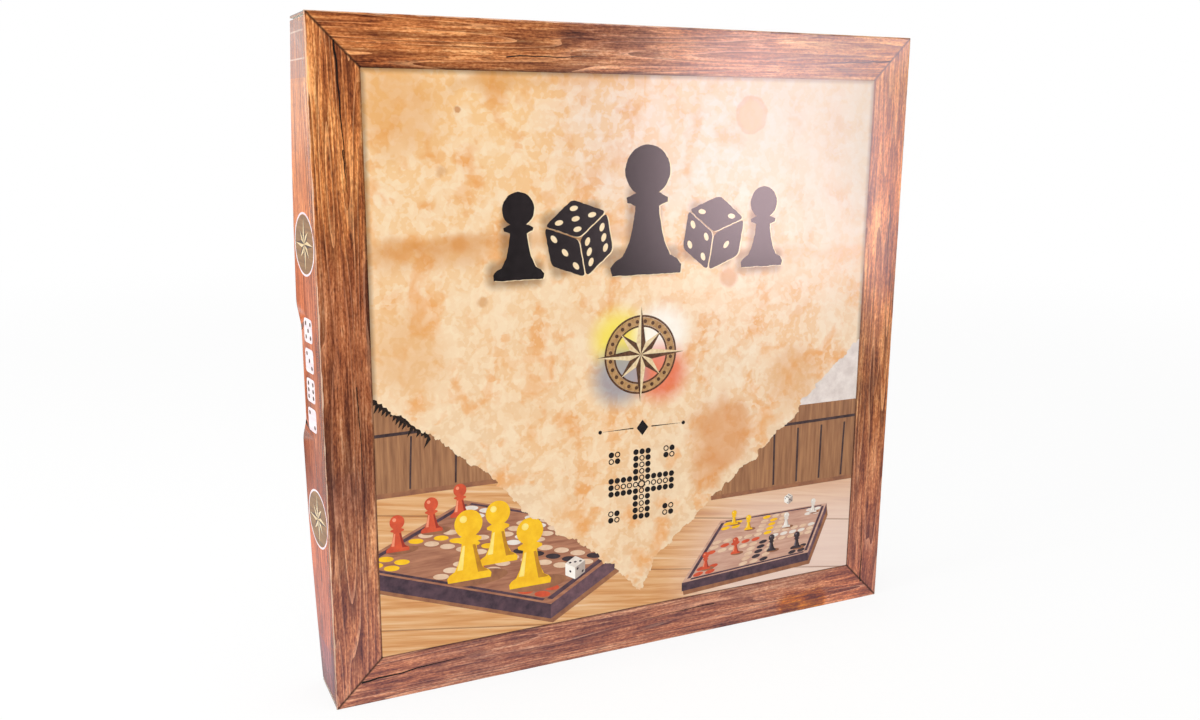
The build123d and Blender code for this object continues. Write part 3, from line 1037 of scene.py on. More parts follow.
def tone_veins(tree, colour, drift, blotch):
    """Thin orange veins inside the blotches: where another noise is close to its middle value."""
    veins = add_node(tree, NOISE_TEX, {"Vector": drift, "Scale": 1 / VEIN_SIZE, "Detail": 2})
    thin = add_node(tree, MATH, {0: veins, 1: 0.47}, operation="SUBTRACT")
    thin = add_node(tree, MATH, {0: thin}, operation="ABSOLUTE")
    vein = add_node(
        tree, MAP_RANGE, {"Value": thin, "From Min": 0.0, "From Max": 0.06, "To Min": 1, "To Max": 0}
    )
    damp = add_node(tree, MAP_RANGE, {"Value": blotch, "From Min": 0.52, "From Max": 0.62})
    damp_vein = add_node(tree, MATH, {0: vein, 1: damp}, operation="MULTIPLY")
    return tone_over(tree, colour, damp_vein, "#EDA257", 0.55)


print("flakes of", [size for size, _, _, _ in FLAKES], "mm")

# %% [markdown]
# The ground of the sheet is a little yellower at its top than at its bottom. Broad clouds and orange
# blotches lie on it, and the flakes, marks and veins follow.

# %% Ground of the old paper
PAPER_TONES = [(0.0, "#EACBA6"), (0.5, "#F1CDA2"), (1.0, "#F5C88F")]  # from the bottom to the top
PAPER_LOW, PAPER_HIGH = -150, 160
CLOUD_SIZE, BLOTCH_SIZE = 75, 26


def build_paper_ground(tree, place, z):
    """The paper before its stains: a tone by height, with clouds, blotches, flakes, marks and veins."""
    height = add_node(tree, MAP_RANGE, {"Value": z, "From Min": PAPER_LOW, "From Max": PAPER_HIGH})
    ramp = add_node(tree, "ShaderNodeValToRGB", {"Fac": height})
    colour = fill_ramp(ramp, PAPER_TONES)
    cloud = add_node(
        tree, NOISE_TEX, {"Vector": place, "Scale": 1 / CLOUD_SIZE, "Detail": 3, "Roughness": 0.55}
    )
    warm = add_node(tree, MAP_RANGE, {"Value": cloud, "From Min": 0.44, "From Max": 0.66})
    colour = tone_over(tree, colour, warm, "#F2B876", 0.5)
    drift = wobble(tree, place, 20, 16)
    blotch = add_node(
        tree, NOISE_TEX, {"Vector": drift, "Scale": 1 / BLOTCH_SIZE, "Detail": 4, "Roughness": 0.55}
    )
    stained = add_node(tree, MAP_RANGE, {"Value": blotch, "From Min": 0.52, "From Max": 0.68})
    colour = tone_over(tree, colour, stained, "#EBA35A", 0.75)
    colour = tone_flakes(tree, colour, place)
    colour = tone_warm_marks(tree, colour, place, blotch)
    return tone_veins(tree, colour, drift, blotch)


print("blotches are about", BLOTCH_SIZE, "mm wide")

# %% [markdown]
# On that ground lie the marks that have a place of their own: a ring and drops of brown stain, diffuse
# stains near the edges, and long soft creases. Under the veil, at the top middle and the middle right,
# the paper is painted bluer as a painted tint of that reflection, and its upper right corner gets a
# paler tone that is then darkened and cooled: painted shade, where less light falls. The places come
# from the photograph, and the forms are rounded spots whose borders waver.

# %% Stains, creases, painted reflection tint and painted shade of the old paper
# Painted tint of the veil's reflection: where the veil lies, the paper is made bluer.
REFLECTION_TINTS = (  # centre, half size, radius and softness, and the gains in red, green and blue
    ((130, 5), (20, 10), 30, 90, (1.0, 1.04, 1.14)),
    ((20, 150), (10, 0), 30, 70, (0.92, 0.98, 1.24)),
)
# Painted shade in the upper right corner, where less light falls: a pale tone, darkened and cooled.
SHADED_CORNER = ((185, 185), (0, 0), 60, 150)
STAINS = (  # centre, radius, softness, shade and strength of stains with a clear border
    ((76, 149), 11.0, 1.6, "#D08C5C", 0.55),
    ((76, 148), 7.5, 4.0, "#E4AC80", 0.6),
    ((63, 46), 4.5, 4.0, "#CB8348", 0.55),
    ((-118, 150), 1.3, 1.1, "#C0783A", 0.7),
    ((-105, 40), 2.0, 2.5, "#CE8A46", 0.5),
    ((-118, 75), 2.0, 5.0, "#E2964C", 0.6),
    ((-128, 116), 1.0, 3.5, "#D08A46", 0.5),
)
DIFFUSE_STAINS = (  # the same for stains that have run far out
    ((63, -58), 16.0, 16.0, "#D9883C", 0.62),
    ((52, -84), 6.0, 14.0, "#D9883C", 0.45),
    ((-152, 150), 12.0, 26.0, "#E09A4A", 0.5),
    ((-95, 168), 6.0, 16.0, "#E09A4A", 0.5),
    ((118, -22), 10.0, 20.0, "#DE9C58", 0.45),
    ((-152, 12), 10.0, 24.0, "#E2A25A", 0.45),
)
CREASES = (  # centre, half size, radius, softness, angle, shade and strength
    ((-82, 76), (78, 0), 1.0, 7.0, 2, "#D58D44", 0.42),
    ((-140, 70), (30, 0), 2.0, 12.0, 0, "#D9934A", 0.5),
    ((120, 60), (50, 0), 0.5, 6.0, -3, "#D99C5C", 0.4),
    ((-60, 168), (60, 0), 0.5, 8.0, 4, "#D99446", 0.4),
)


def tone_stains(tree, colour, place):
    """The painted reflection tint and painted shade, then the stains and the creases of the sheet."""
    for centre, half, radius, softness, gains in REFLECTION_TINTS:
        patch = spot(tree, place, centre, half, radius, softness)
        colour = tone_gain(tree, colour, patch, gains)
    # Painted shade: the upper right corner is toned pale, then darkened and cooled.
    painted_shade = spot(tree, place, *SHADED_CORNER)
    colour = tone_over(tree, colour, painted_shade, "#F2CC9E", 0.55)
    colour = tone_gain(tree, colour, painted_shade, (0.56, 0.74, 0.92))
    near = wobble(tree, place, 9, 5)
    far = wobble(tree, place, 24, 26)
    for field, stains in ((near, STAINS), (far, DIFFUSE_STAINS)):
        for centre, radius, softness, shade, strength in stains:
            stain = spot(tree, field, centre, (0, 0), radius, softness)
            colour = tone_over(tree, colour, stain, shade, strength)
    wavy = wobble(tree, place, 17, 13)
    for centre, half, radius, softness, angle, shade, strength in CREASES:
        crease = spot(tree, wavy, centre, half, radius, softness, angle)
        colour = tone_over(tree, colour, crease, shade, strength)
    return colour


print("stains:", len(STAINS) + len(DIFFUSE_STAINS), "and creases:", len(CREASES))

# %% [markdown]
# The large figures throw a soft shadow on the sheet, down to the left. The emblem has a glow in four
# colours behind it. A brown rim runs along the straight sides, where the frame shades the sheet. With
# these the print of the sheet is complete.

# %% Old paper print
EDGE = PANEL_HALF / MM
RIM_WIDTH = 3.4
TITLE_SHADOWS = (  # centre, half size and angle of the soft shadow of each large figure
    ((3, 62), (21, 4), 0), ((3, 82), (7, 22), 0), ((3, 116), (5, 4), 0),
    ((-43, 77), (15, 15), 12), ((51, 77), (14, 14), -10),
    ((-82, 58), (13, 3), 0), ((-82, 72), (4, 14), 0), ((-82, 92), (3, 3), 0),
    ((88, 58), (13, 3), 0), ((88, 72), (4, 14), 0), ((88, 92), (3, 3), 0),
)
SHADOW_SHIFT = (-2.2, -2.4)
EMBLEM_GLOWS = (  # centre and colour
    ((-15, 11), "#F8E33C"), ((15, 13), "#FFFDF4"), ((15, -13), "#E8603A"), ((-15, -13), "#8F95A4"),
)


def build_old_paper():
    """Old stained paper in print on laminated card."""
    material, tree, shader = new_material("laminated old paper print")
    film_finish(shader)
    place = print_place(tree)
    x, y, z = add_node(tree, "ShaderNodeSeparateXYZ", {0: place}).outputs
    colour = build_paper_ground(tree, place, z)
    colour = tone_stains(tree, colour, place)
    for (x, z), half, angle in TITLE_SHADOWS:
        shadow = spot(tree, place, (x + SHADOW_SHIFT[0], z + SHADOW_SHIFT[1]), half, 1.5, 6.5, angle)
        colour = tone_over(tree, colour, shadow, "#7A5632", 0.6)
    for centre, shade in EMBLEM_GLOWS:
        colour = tone_over(tree, colour, spot(tree, place, centre, (0, 0), 9, 17), shade, 0.8)
    flat = add_node(tree, VECTOR_MATH, {0: place}, operation="ABSOLUTE")
    sides = add_node(tree, "ShaderNodeSeparateXYZ", {0: flat})
    nearest = add_node(tree, MATH, {0: sides.outputs["X"], 1: sides.outputs["Z"]}, operation="MAXIMUM")
    rim = add_node(
        tree, MAP_RANGE, {"Value": nearest, "From Min": EDGE - RIM_WIDTH, "From Max": EDGE},
        interpolation_type="SMOOTHSTEP",
    )
    colour = tone_over(tree, colour, rim, "#5E3A20", 0.55)
    tree.links.new(colour, shader.inputs["Base Color"])
    return material


old_paper = build_old_paper()
print("old paper:", len(old_paper.node_tree.nodes), "nodes")

# %% [markdown]
# The sheet is a skin of its own. Its lower edge is torn off in a wide V. The points of the V are
# joined, divided and pushed about twice, first every 2 mm by a broad noise and then every half
# millimetre by a fine one, so that the edge frays like torn fibre. The straight sides stay as they
# are. At the left end of the tear charred fibres stick out, long and short by turns.

# %% Torn sheet and charred fibres
TORN_EDGE = (  # x and z of the torn edge, in millimetres from the middle of the front
    (171.5, -3), (143, -26), (120, -51), (97, -71), (74, -89), (43, -114), (14, -140), (0, -162),
    (-17, -141), (-40, -123), (-71, -100), (-97, -74), (-129, -43), (-150, -28), (-171.5, -12),
)
FIBRE_COUNT = 34
CHARRED_FROM = ((-143, -28), (-EDGE, -2))  # the two points that close the outline of the fibres
TEAR_SLOPE = 0.76


def is_straight_side(point):
    """Whether a point lies on one of the straight sides of the paper, which stay straight."""
    return max(abs(point.x), point.y) > EDGE - 0.5


sheet_outline = [(-EDGE, EDGE), (EDGE, EDGE), *TORN_EDGE]
torn_outline = pushed(sheet_outline, 3.4, 9, 3, step=2.0, keep=is_straight_side)
torn_outline = pushed(torn_outline, 1.3, 2.3, 5, step=0.55, keep=is_straight_side)
skin("paper_sheet", [torn_outline], "paper", old_paper)
charred_ink = build_ink("charred brown ink under film", "#33241B", "#19110C", 2)
burnt = list(CHARRED_FROM)
for k in range(FIBRE_COUNT):
    x = k - 171.0
    root = -13.5 - TEAR_SLOPE * (x - TORN_EDGE[-1][0])
    length = 0.4 if k % 2 else 2 + 13 * abs(noise.noise(Vector((2.3 * k, 4, 9))))
    burnt.append((max(x - 0.45 * length, -EDGE), root - 0.8 * length))
skin("charred_fibres", [burnt], "piece_tone", charred_ink)
print("torn outline has", len(torn_outline), "points")

# %% [markdown]
# The large black figures say what is in the box: playing pieces and dice. A piece is drawn from one
# side of its outline and its mirror image, with a round head between. Each die is a cube seen from a
# corner. Its three faces are unit squares carried onto slanted axes, so that the rounded corners and
# the pips slant with them.

# %% Outlines of pieces and dice
PAWN_SIDE = (  # half width and height of one side of a playing piece, as shares of its height
    (0.300, 0.000), (0.310, 0.065), (0.275, 0.110), (0.205, 0.150), (0.150, 0.260), (0.118, 0.400),
    (0.100, 0.530), (0.175, 0.560), (0.180, 0.595), (0.105, 0.630),
)
PAWN_HEAD = (0.80, 0.195)  # height of the head's middle and its radius, as shares of the height
PIP_POINTS = 20
PIP_SPREAD = 0.26  # how far the outer pips lie from a face's middle, as a share of its side
PIP_GRID = {
    1: [(0, 0)],
    2: [(-1, 1), (1, -1)],
    3: [(-1, 1), (0, 0), (1, -1)],
    4: [(-1, -1), (-1, 1), (1, -1), (1, 1)],
    5: [(-1, -1), (-1, 1), (0, 0), (1, -1), (1, 1)],
    6: [(-1, -1), (-1, 0), (-1, 1), (1, -1), (1, 0), (1, 1)],
}


def pawn_shape(x, z, height, lean=0.0):
    """The outline of a playing piece that stands at x, z: a flared foot, a collar and a round head."""
    middle, radius = PAWN_HEAD
    start = math.asin((PAWN_SIDE[-1][1] - middle) / radius)
    turns = [start + (math.pi - 2 * start) * k / 24 for k in range(25)]
    head = [(radius * math.cos(t), middle + radius * math.sin(t)) for t in turns]
    shape = [*PAWN_SIDE, *head, *[(-w, h) for w, h in reversed(PAWN_SIDE)]]
    return turned([(px * height, pz * height) for px, pz in shape], lean, x, z)


def cube_faces(x, z, side, lean=0.0):
    """The three visible faces of a cube seen from a corner, each as a function of its own unit square."""
    wide, tall = side * math.cos(math.radians(30)), side / 2
    frames = (  # a corner of the face and its two sides
        ((0, 0), (wide, tall), (-wide, tall)),
        ((-wide, -tall), (wide, -tall), (0, side)),
        ((0, -side), (wide, tall), (0, side)),
    )

    def face_map(origin, across, up):
        def carry(u, v):
            point = [o + u * a + v * b for o, a, b in zip(origin, across, up)]
            return turned([point], lean, x, z)[0]

        return carry

    return [face_map(*face) for face in frames]


def face_outline(face, margin, corner):
    """The rounded outline of a die's face."""
    low, high = margin, 1 - margin
    square = rounded([(low, low), (high, low), (high, high), (low, high)], corner)
    return [face(u, v) for u, v in square]


def face_pips(face, value, radius=0.09):
    """The outlines of a die's pips on one face."""
    middles = [(0.5 + PIP_SPREAD * i, 0.5 + PIP_SPREAD * j) for i, j in PIP_GRID[value]]
    return [[face(u, v) for u, v in disc(*middle, radius, PIP_POINTS)] for middle in middles]


print("a playing piece is drawn with", len(pawn_shape(0, 0, 1)), "points")

# %% [markdown]
# Three pieces and two dice stand in a row, the middle piece half as large again as the others. The
# black print is a little rough, as old type is. A cream copy lies under it, shifted down to the right
# by less than a millimetre: its rim lights one side of every figure.

# %% Title figures
TITLE_PAWNS = ((3, 51, 80), (-82, 52, 52), (88, 52, 52))  # x, z and height
TITLE_DICE = ((-43, 11, (5, 3, 6)), (51, -9, (2, 4, 1)))  # x, lean in degrees and the faces' values
DICE_Z, DICE_SIDE = 75, 24.5
LIT_SHIFT = (0.8, -0.35)

black_ink = build_ink("black offset ink under film", "#1F1A1B", "#110D0E", 5)
cream_ink = build_ink("cream offset ink under film", "#FBE6C0", "#F3D7A9", 5)
title = [pushed(pawn_shape(*pawn), 0.35, 3, 11, step=1.2) for pawn in TITLE_PAWNS]
for x, lean, values in TITLE_DICE:
    for face, value in zip(cube_faces(x, DICE_Z, DICE_SIDE, lean), values):
        title.append(pushed(face_outline(face, 0.02, 0.13), 0.25, 3, 13, step=1.2))
        title += face_pips(face, value)
skin("title_figures", title, "ink_top", black_ink)
lit_edges = [
    [(x + LIT_SHIFT[0], z + LIT_SHIFT[1]) for x, z in outline]
    for outline in title if len(outline) > PIP_POINTS
]
skin("title_edges", lit_edges, "ink", cream_ink)
print("title figures:", len(title), "outlines")

# %% [markdown]
# Below them stands an emblem in the browns of an old engraving: a compass star of eight points, each
# split into a lit and a shaded half, on a ring with beads.

# %% Emblem
EMBLEM_LONG, EMBLEM_SHORT, EMBLEM_WAIST = 31.0, 20, 8.5  # radii of the points and of the dips between
OUTER_RING, INNER_RING, GOLD_RING = (25.5, 24.2), (19, 17.8), (24.1, 19.1)
BEAD_COUNT, BEAD_CIRCLE, BEAD_R = 24, 21.5, 1.25


def ring(x, z, outer, inner, corners=64):
    """The two outlines of a flat ring."""
    return [disc(x, z, outer, corners), disc(x, z, inner, corners)]


def star_halves(x, z, long, short, waist):
    """The lit and the shaded halves of the eight points of a compass star."""
    lit, shaded = [], []
    for k in range(8):
        reach = short if k % 2 else long
        t = math.tau * k / 8 + math.pi / 2
        tip = (x + reach * math.cos(t), z + reach * math.sin(t))
        sides = [
            (x + waist * math.cos(t + turn), z + waist * math.sin(t + turn))
            for turn in (math.pi / 8, -math.pi / 8)
        ]
        lit.append([(x, z), tip, sides[0]])
        shaded.append([(x, z), sides[1], tip])
    return lit, shaded


lit, shaded = star_halves(0, 0, EMBLEM_LONG, EMBLEM_SHORT, EMBLEM_WAIST)
emblem_brown = build_ink("brown engraving ink under film", "#6B472C", "#432A1A", 3)
emblem_gold = build_ink("ochre engraving ink under film", "#C69C66", "#A67B4B", 3)
emblem_cream = build_ink("cream engraving ink under film", "#F1DDB5", "#DDBF8D", 3)
bead_turns = [math.tau * (k + 0.5) / BEAD_COUNT for k in range(BEAD_COUNT)]
beads = [disc(BEAD_CIRCLE * math.cos(t), BEAD_CIRCLE * math.sin(t), BEAD_R, 16) for t in bead_turns]
skin("emblem_rings", ring(0, 0, *OUTER_RING) + ring(0, 0, *INNER_RING), "ink", emblem_brown)
skin("emblem_band", ring(0, 0, *GOLD_RING), "ink", emblem_gold)
skin("emblem_beads", beads, "ink_top", emblem_brown)
skin("emblem_star_lit", lit, "ink_top", emblem_cream)
skin("emblem_star_shaded", shaded, "ink_top", emblem_brown)
print("emblem:", len(lit), "points and", len(beads), "beads")

# %% [markdown]
# Under the emblem come a small ruled ornament, with a diamond between two tapering lines, and the plan
# of a ludo board: a cross of fields with four homes, as players have drawn it for ages. The same list
# of fields serves the plan, the boards in the pictures and the wooden board in the box.

# %% Ornament and plan
DIAMOND = [(0, -5.2), (4.2, 0), (0, 5.2), (-4.2, 0)]
ORNAMENT_X, ORNAMENT_Z = 2, -48
PLAN_X, PLAN_Z = 2, -86
PLAN_PITCH = 4.4
PLAN_FIELD_R, PLAN_HOLE_R = 1.95, 1.2

ornament = [turned(DIAMOND, 0, ORNAMENT_X, ORNAMENT_Z)]
for side in (-1, 1):
    near, far = ORNAMENT_X + side * 6.5, ORNAMENT_X + side * 28
    ornament.append([(near, -48.2), (far, -48.05), (far, -47.95), (near, -47.4)])
    ornament.append(disc(ORNAMENT_X + side * 30, ORNAMENT_Z, 1.3, 16))
skin("ornament", ornament, "ink", black_ink)


def ludo_cells():
    """The fields of a ludo board as column and row from its middle, each with its kind."""
    cells = []
    for i in range(-5, 6):
        for j in range(-5, 6):
            home = abs(i) >= 4 and abs(j) >= 4
            lane = (i == 0) != (j == 0) and max(abs(i), abs(j)) < 5
            track = min(abs(i), abs(j)) <= 1 and (i, j) != (0, 0) and not lane
            track = track and (abs(i) == 1 or abs(j) == 1 or max(abs(i), abs(j)) == 5)
            if home or lane or track:
                cells.append((i, j, "home" if home else "lane" if lane else "track"))
    return cells


def cell_colour(i, j, kind):
    """The player's colour of a home, a lane or the field where a piece starts, or None."""
    if kind == "home":
        return ("yellow" if j > 0 else "red") if i < 0 else ("white" if j > 0 else "black")
    if kind == "lane":
        if i:
            return "white" if i > 0 else "red"
        return "yellow" if j > 0 else "black"
    return {(-1, 5): "yellow", (5, 1): "white", (1, -5): "black", (-5, -1): "red"}.get((i, j))


plan = []
for i, j, kind in ludo_cells():
    x, z = PLAN_X + i * PLAN_PITCH, PLAN_Z + j * PLAN_PITCH
    plan.append(disc(x, z, PLAN_FIELD_R, 20))
    if kind == "lane" or kind == "home" and (i + j) % 2:
        plan.append(disc(x, z, PLAN_HOLE_R, 20))
plan += ring(PLAN_X, PLAN_Z, 0.5 + PLAN_PITCH / 2, PLAN_PITCH / 2 - 0.6, 24)
skin("board_plan", plan, "ink", black_ink)
print("board plan:", len(plan), "outlines")

# %% [markdown]
# Under the torn edge the print shows two table scenes. Their inks are named for what they paint. The
# bench is drawn with upright streaks and the boards with streaks along them, as planks have.

# %% Inks of the pictures
PICTURE_TONES = {  # light and dark ink of each thing in the pictures
    "plaster": ("#EEE3DC", "#D9CBC4"),
    "bench": ("#B27F57", "#8C5F42"),
    "bench_gap": ("#52403F", "#3A2A2B"),
    "board_top": ("#BC8364", "#96604A"),
    "pale_board_top": ("#D9B09A", "#C08F7C"),
    "board_edge": ("#614751", "#40313C"),
    "board_side": ("#7C5A62", "#58424C"),
    "shade": ("#A8724E", "#8A5A44"),
    "field": ("#EBCDB0", "#DDB797"),
    "yellow": ("#FFCC1E", "#F4B813"),
    "lit yellow": ("#FFEC8E", "#FFE066"),
    "dark yellow": ("#CF9320", "#B37A1C"),
    "red": ("#DF5A36", "#C54A30"),
    "lit red": ("#F7A07C", "#EE8A66"),
    "dark red": ("#A83826", "#8E2E22"),
    "white": ("#F1E8DE", "#E0D4CA"),
    "lit white": ("#FFFBF4", "#F8F0E6"),
    "dark white": ("#C3B5AB", "#AE9F97"),
    "black": ("#4A3D42", "#382D32"),
    "lit black": ("#8B7F86", "#776B73"),
    "dark black": ("#2A2226", "#1E181B"),
}
STREAKED = {"bench": (2.2, (1, 16)), "board_top": (2.6, (9, 1)), "pale_board_top": (2.6, (9, 1))}
EVEN = (7, (1, 1))  # size of the clouds in millimetres, and how far they are stretched in x and z

picture_inks = {}
for name, tones in PICTURE_TONES.items():
    picture_inks[name] = build_ink(f"{name} picture ink under film", *tones, *STREAKED.get(name, EVEN))
print("picture inks:", len(picture_inks))

# %% [markdown]
# Boards and fields are drawn on a unit square and carried onto the picture by the perspective map of
# that square onto four corners, which has a closed form. Everything is cut off at the frame's left
# bar, and outlines of one tone on one layer are gathered, so that each becomes a single skin.

# %% Ways to draw a picture
picture = {}


def cut_at_frame(outline):
    """The part of an outline that lies to the right of the frame's left bar."""
    kept = []
    for k, (x, z) in enumerate(outline):
        last_x, last_z = outline[k - 1]
        if (x < -EDGE) != (last_x < -EDGE):
            t = (-EDGE - last_x) / (x - last_x)
            kept.append((-EDGE, last_z + t * (z - last_z)))
        if x >= -EDGE:
            kept.append((x, z))
    return kept


def draw(layer, tone, outline):
    """Put an outline on a layer of the pictures, in one of their tones."""
    outline = cut_at_frame(outline)
    if outline:
        picture.setdefault((layer, tone), []).append(outline)


def onto_corners(corners):
    """The perspective map of the unit square onto four corners, given anticlockwise from its origin."""
    (x0, z0), (x1, z1), (x2, z2), (x3, z3) = corners
    ax, az, bx, bz = x1 - x2, z1 - z2, x3 - x2, z3 - z2
    sx, sz = x0 - x1 + x2 - x3, z0 - z1 + z2 - z3
    span = ax * bz - bx * az
    g, h = (sx * bz - bx * sz) / span, (ax * sz - sx * az) / span

    def carry(u, v):
        w = g * u + h * v + 1
        x = ((x1 - x0 + g * x1) * u + (x3 - x0 + h * x3) * v + x0) / w
        z = ((z1 - z0 + g * z1) * u + (z3 - z0 + h * z3) * v + z0) / w
        return x, z

    return carry


print("middle of a slanted square:", onto_corners([(0, 0), (4, 0), (3, 2), (1, 2)])(0.5, 0.5))

# %% [markdown]
# A board shows its top, two of its edges and a shadow on the table, with the fields and a thin rim
# carried onto its top. A playing piece gets a lit edge at its left and a dark one at its right, which
# make its flat outline look round, and a shadow at its foot.

# %% Boards and pieces in a picture
CELL_STEP, CELL_R = 0.083, 0.034  # of the fields, as shares of the board's side
SHADE_SHIFT = (1.5, -3)  # how far the shadow of a board lies beside it
LIT_SIDE = ((-0.17, 0.16), (-0.09, 0.16), (-0.055, 0.5), (-0.085, 0.5))  # as shares of the height
DARK_SIDE = ((0.12, 0.1), (0.27, 0.1), (0.18, 0.17), (0.09, 0.5), (0.05, 0.5))


def draw_board(corners, thickness, front_sides, top):
    """A game board in perspective: its top, its visible edges, its fields and its shadow on the table."""
    carry = onto_corners(corners)
    below = [(x, z - thickness) for x, z in corners]
    shade = [(x + SHADE_SHIFT[0], z - thickness + SHADE_SHIFT[1]) for x, z in corners]
    for k, tone in zip(front_sides, ("board_edge", "board_side")):
        n = (k + 1) % 4
        draw("board", tone, [corners[k], corners[n], below[n], below[k]])
    seen = [(front_sides[0] + k) % 4 for k in range(3)]
    draw("backdrop", "shade", [corners[k] for k in seen] + [shade[k] for k in reversed(seen)])
    draw("board", top, list(corners))
    rim = [(0.05, 0.02), (0.95, 0.02), (0.95, 0.045), (0.05, 0.045)]
    for _ in range(4):
        draw("field", "board_edge", [carry(u, v) for u, v in rim])
        rim = [(1 - v, u) for u, v in rim]
    for i, j, kind in ludo_cells():
        tone = cell_colour(i, j, kind) or "field"
        outline = disc(0.5 + i * CELL_STEP, 0.5 + j * CELL_STEP, CELL_R, 20)
        draw("field", tone, [carry(u, v) for u, v in outline])
    return carry


def draw_piece(tone, x, z, height, layer="piece", shaded=True):
    """A playing piece in a picture, with a lit edge at the left, and a dark one and a shadow at the right."""
    h = height
    draw(layer, tone, pawn_shape(x, z, h))
    draw(layer + "_tone", "lit " + tone, [(x + px * h, z + pz * h) for px, pz in LIT_SIDE])
    draw(layer + "_tone", "lit " + tone, disc(x - 0.07 * h, z + 0.87 * h, 0.05 * h, 16))
    draw(layer + "_tone", "dark " + tone, [(x + px * h, z + pz * h) for px, pz in DARK_SIDE])
    if shaded:
        shadow = [(px * 1.25, pz * 0.32) for px, pz in disc(0, 0, 0.34 * h, 28)]
        draw("shadow", "shade", [(x + 0.12 * h + px, z + 0.02 * h + pz) for px, pz in shadow])


print("a board has", len(ludo_cells()), "fields")

# %% [markdown]
# Behind both tables stands a bench of upright boards with a rail, and at the right a strip of plaster
# wall. The foot of each bench shades the table.

# %% Backgrounds of the pictures
LEFT_TABLE_Z, RIGHT_TABLE_Z, WALL_FOOT_Z = -70, -103, -46
LEFT_END, RIGHT_START = -62, 55  # where the left bench ends and the right one begins


def band(left, right, low, high):
    """The outline of an upright rectangle."""
    return [(left, low), (right, low), (right, high), (left, high)]


draw("backdrop", "bench", band(-EDGE, LEFT_END, LEFT_TABLE_Z, -8))
draw("backdrop", "bench", band(RIGHT_START, EDGE, RIGHT_TABLE_Z, WALL_FOOT_Z))
draw("backdrop", "plaster", band(90, EDGE, WALL_FOOT_Z, 4))
for x, lean in ((-152, 1.5), (-124, 1), (-96, 0.5)):
    draw("board", "bench_gap", [(x, -68), (x + 1.1, -68), (x + 1.1 + lean, -36), (x + lean, -36)])
draw("board", "bench_gap", [(-EDGE, -35), (-70, -33), (-70, -31.5), (-EDGE, -33)])
for x, lean in ((104, -0.8), (123, -0.4), (142, 0.3), (161, 1)):
    draw("board", "bench_gap", [(x, -101), (x + 1.5, -101), (x + 1.5 + lean, -62), (x + lean, -62)])
draw("board", "bench_gap", [(60, -60.5), (EDGE, -59), (EDGE, -57), (60, -58.5)])
draw("field", "shade", band(-EDGE, LEFT_END, LEFT_TABLE_Z - 2, LEFT_TABLE_Z + 1))
draw("field", "shade", band(RIGHT_START, EDGE, RIGHT_TABLE_Z - 2, RIGHT_TABLE_Z + 1))
print("backgrounds use", len(picture), "tones on layers")

# %% [markdown]
# On the left table the board lies with one corner towards the viewer, with three red pieces at its
# far side, three tall yellow ones in front and a die. On the right the same board lies square and
# paler, with two pieces of each colour on it and a die behind.

# %% Boards, pieces and dice of the pictures
LEFT_BOARD = [(-62, -158), (8, -118), (-118, -80), (-190, -112)]
RIGHT_BOARD = [(34, -161), (137, -156), (151, -121), (63, -121)]
RIGHT_PIECES = {  # where the pieces stand, as shares of the board's sides
    "yellow": ((0.14, 0.88), (0.3, 0.72)), "red": ((0.12, 0.14), (0.3, 0.3)),
    "white": ((0.88, 0.84), (0.66, 0.62)), "black": ((0.86, 0.14), (0.62, 0.2)),
}
PICTURE_DICE = ((-45, -136, 8, (3, 1, 2)), (118, -113, 4, (6, 2, 3)))  # x, z, side and values

draw_board(LEFT_BOARD, 10, (3, 0), "board_top")
for x, z, height in ((-160, -106, 23), (-139, -97, 22), (-121, -90, 21)):
    draw_piece("red", x, z, height, "far")
draw_piece("yellow", -97, -124, 41, "far", shaded=False)
draw_piece("yellow", -116, -132, 46)
draw_piece("yellow", -76, -143, 46)
right_board = draw_board(RIGHT_BOARD, 6, (0, 1), "pale_board_top")
for tone, places in RIGHT_PIECES.items():
    for u, v in places:
        draw_piece(tone, *right_board(u, v), 13 - 3 * v)
for x, z, side, values in PICTURE_DICE:
    for face, value, tone in zip(cube_faces(x, z, side), values, ("white", "lit white", "dark white")):
        draw("piece", tone, face_outline(face, 0.0, 0.08))
        for pip in face_pips(face, value, 0.1):
            draw("piece_tone", "black", pip)
for (layer, tone), outlines in picture.items():
    skin(f"picture_{layer}_{tone}".replace(" ", "_"), outlines, layer, picture_inks[tone])
print("picture skins:", len(picture), "of", sum(len(outlines) for outlines in picture.values()), "outlines")

# %% [markdown]
# The narrow left wall carries a column of dice faces, as pale squares with brown pips, between two
# star roundels of gold with a pale ring. Each skin is made flat, like the others, and then wrapped
# onto the wall, whose free edge bows outwards along an arc: a point's depth and height give how far
# out the wall stands there.

# %% Marks on the left wall
SKIRT_Y = FRONT_Y + 1.6 * MM  # behind this the wall begins to bow
BOW_R = (HALF**2 + SIDE_BOW**2) / (2 * SIDE_BOW)
WALL_DICE = ((27, 5), (9.5, 3), (-8, 6), (-25.5, 2))  # height and value
WALL_STARS = (76, -86)


def onto_left_wall(piece):
    """Wrap a flat skin onto the left wall: what faced the front now faces left, with its top still up."""
    for vertex in piece.data.vertices:
        x, y, z = vertex.co
        depth, out = -x, 0.03 * MM - y
        bow = math.sqrt(BOW_R**2 - (z - MIDDLE_Z) ** 2) - BOW_R + SIDE_BOW
        bow *= (depth - SKIRT_Y) / (BACK_Y - SKIRT_Y)
        vertex.co = (-HALF - bow - out, depth, z)
    piece.data.update()


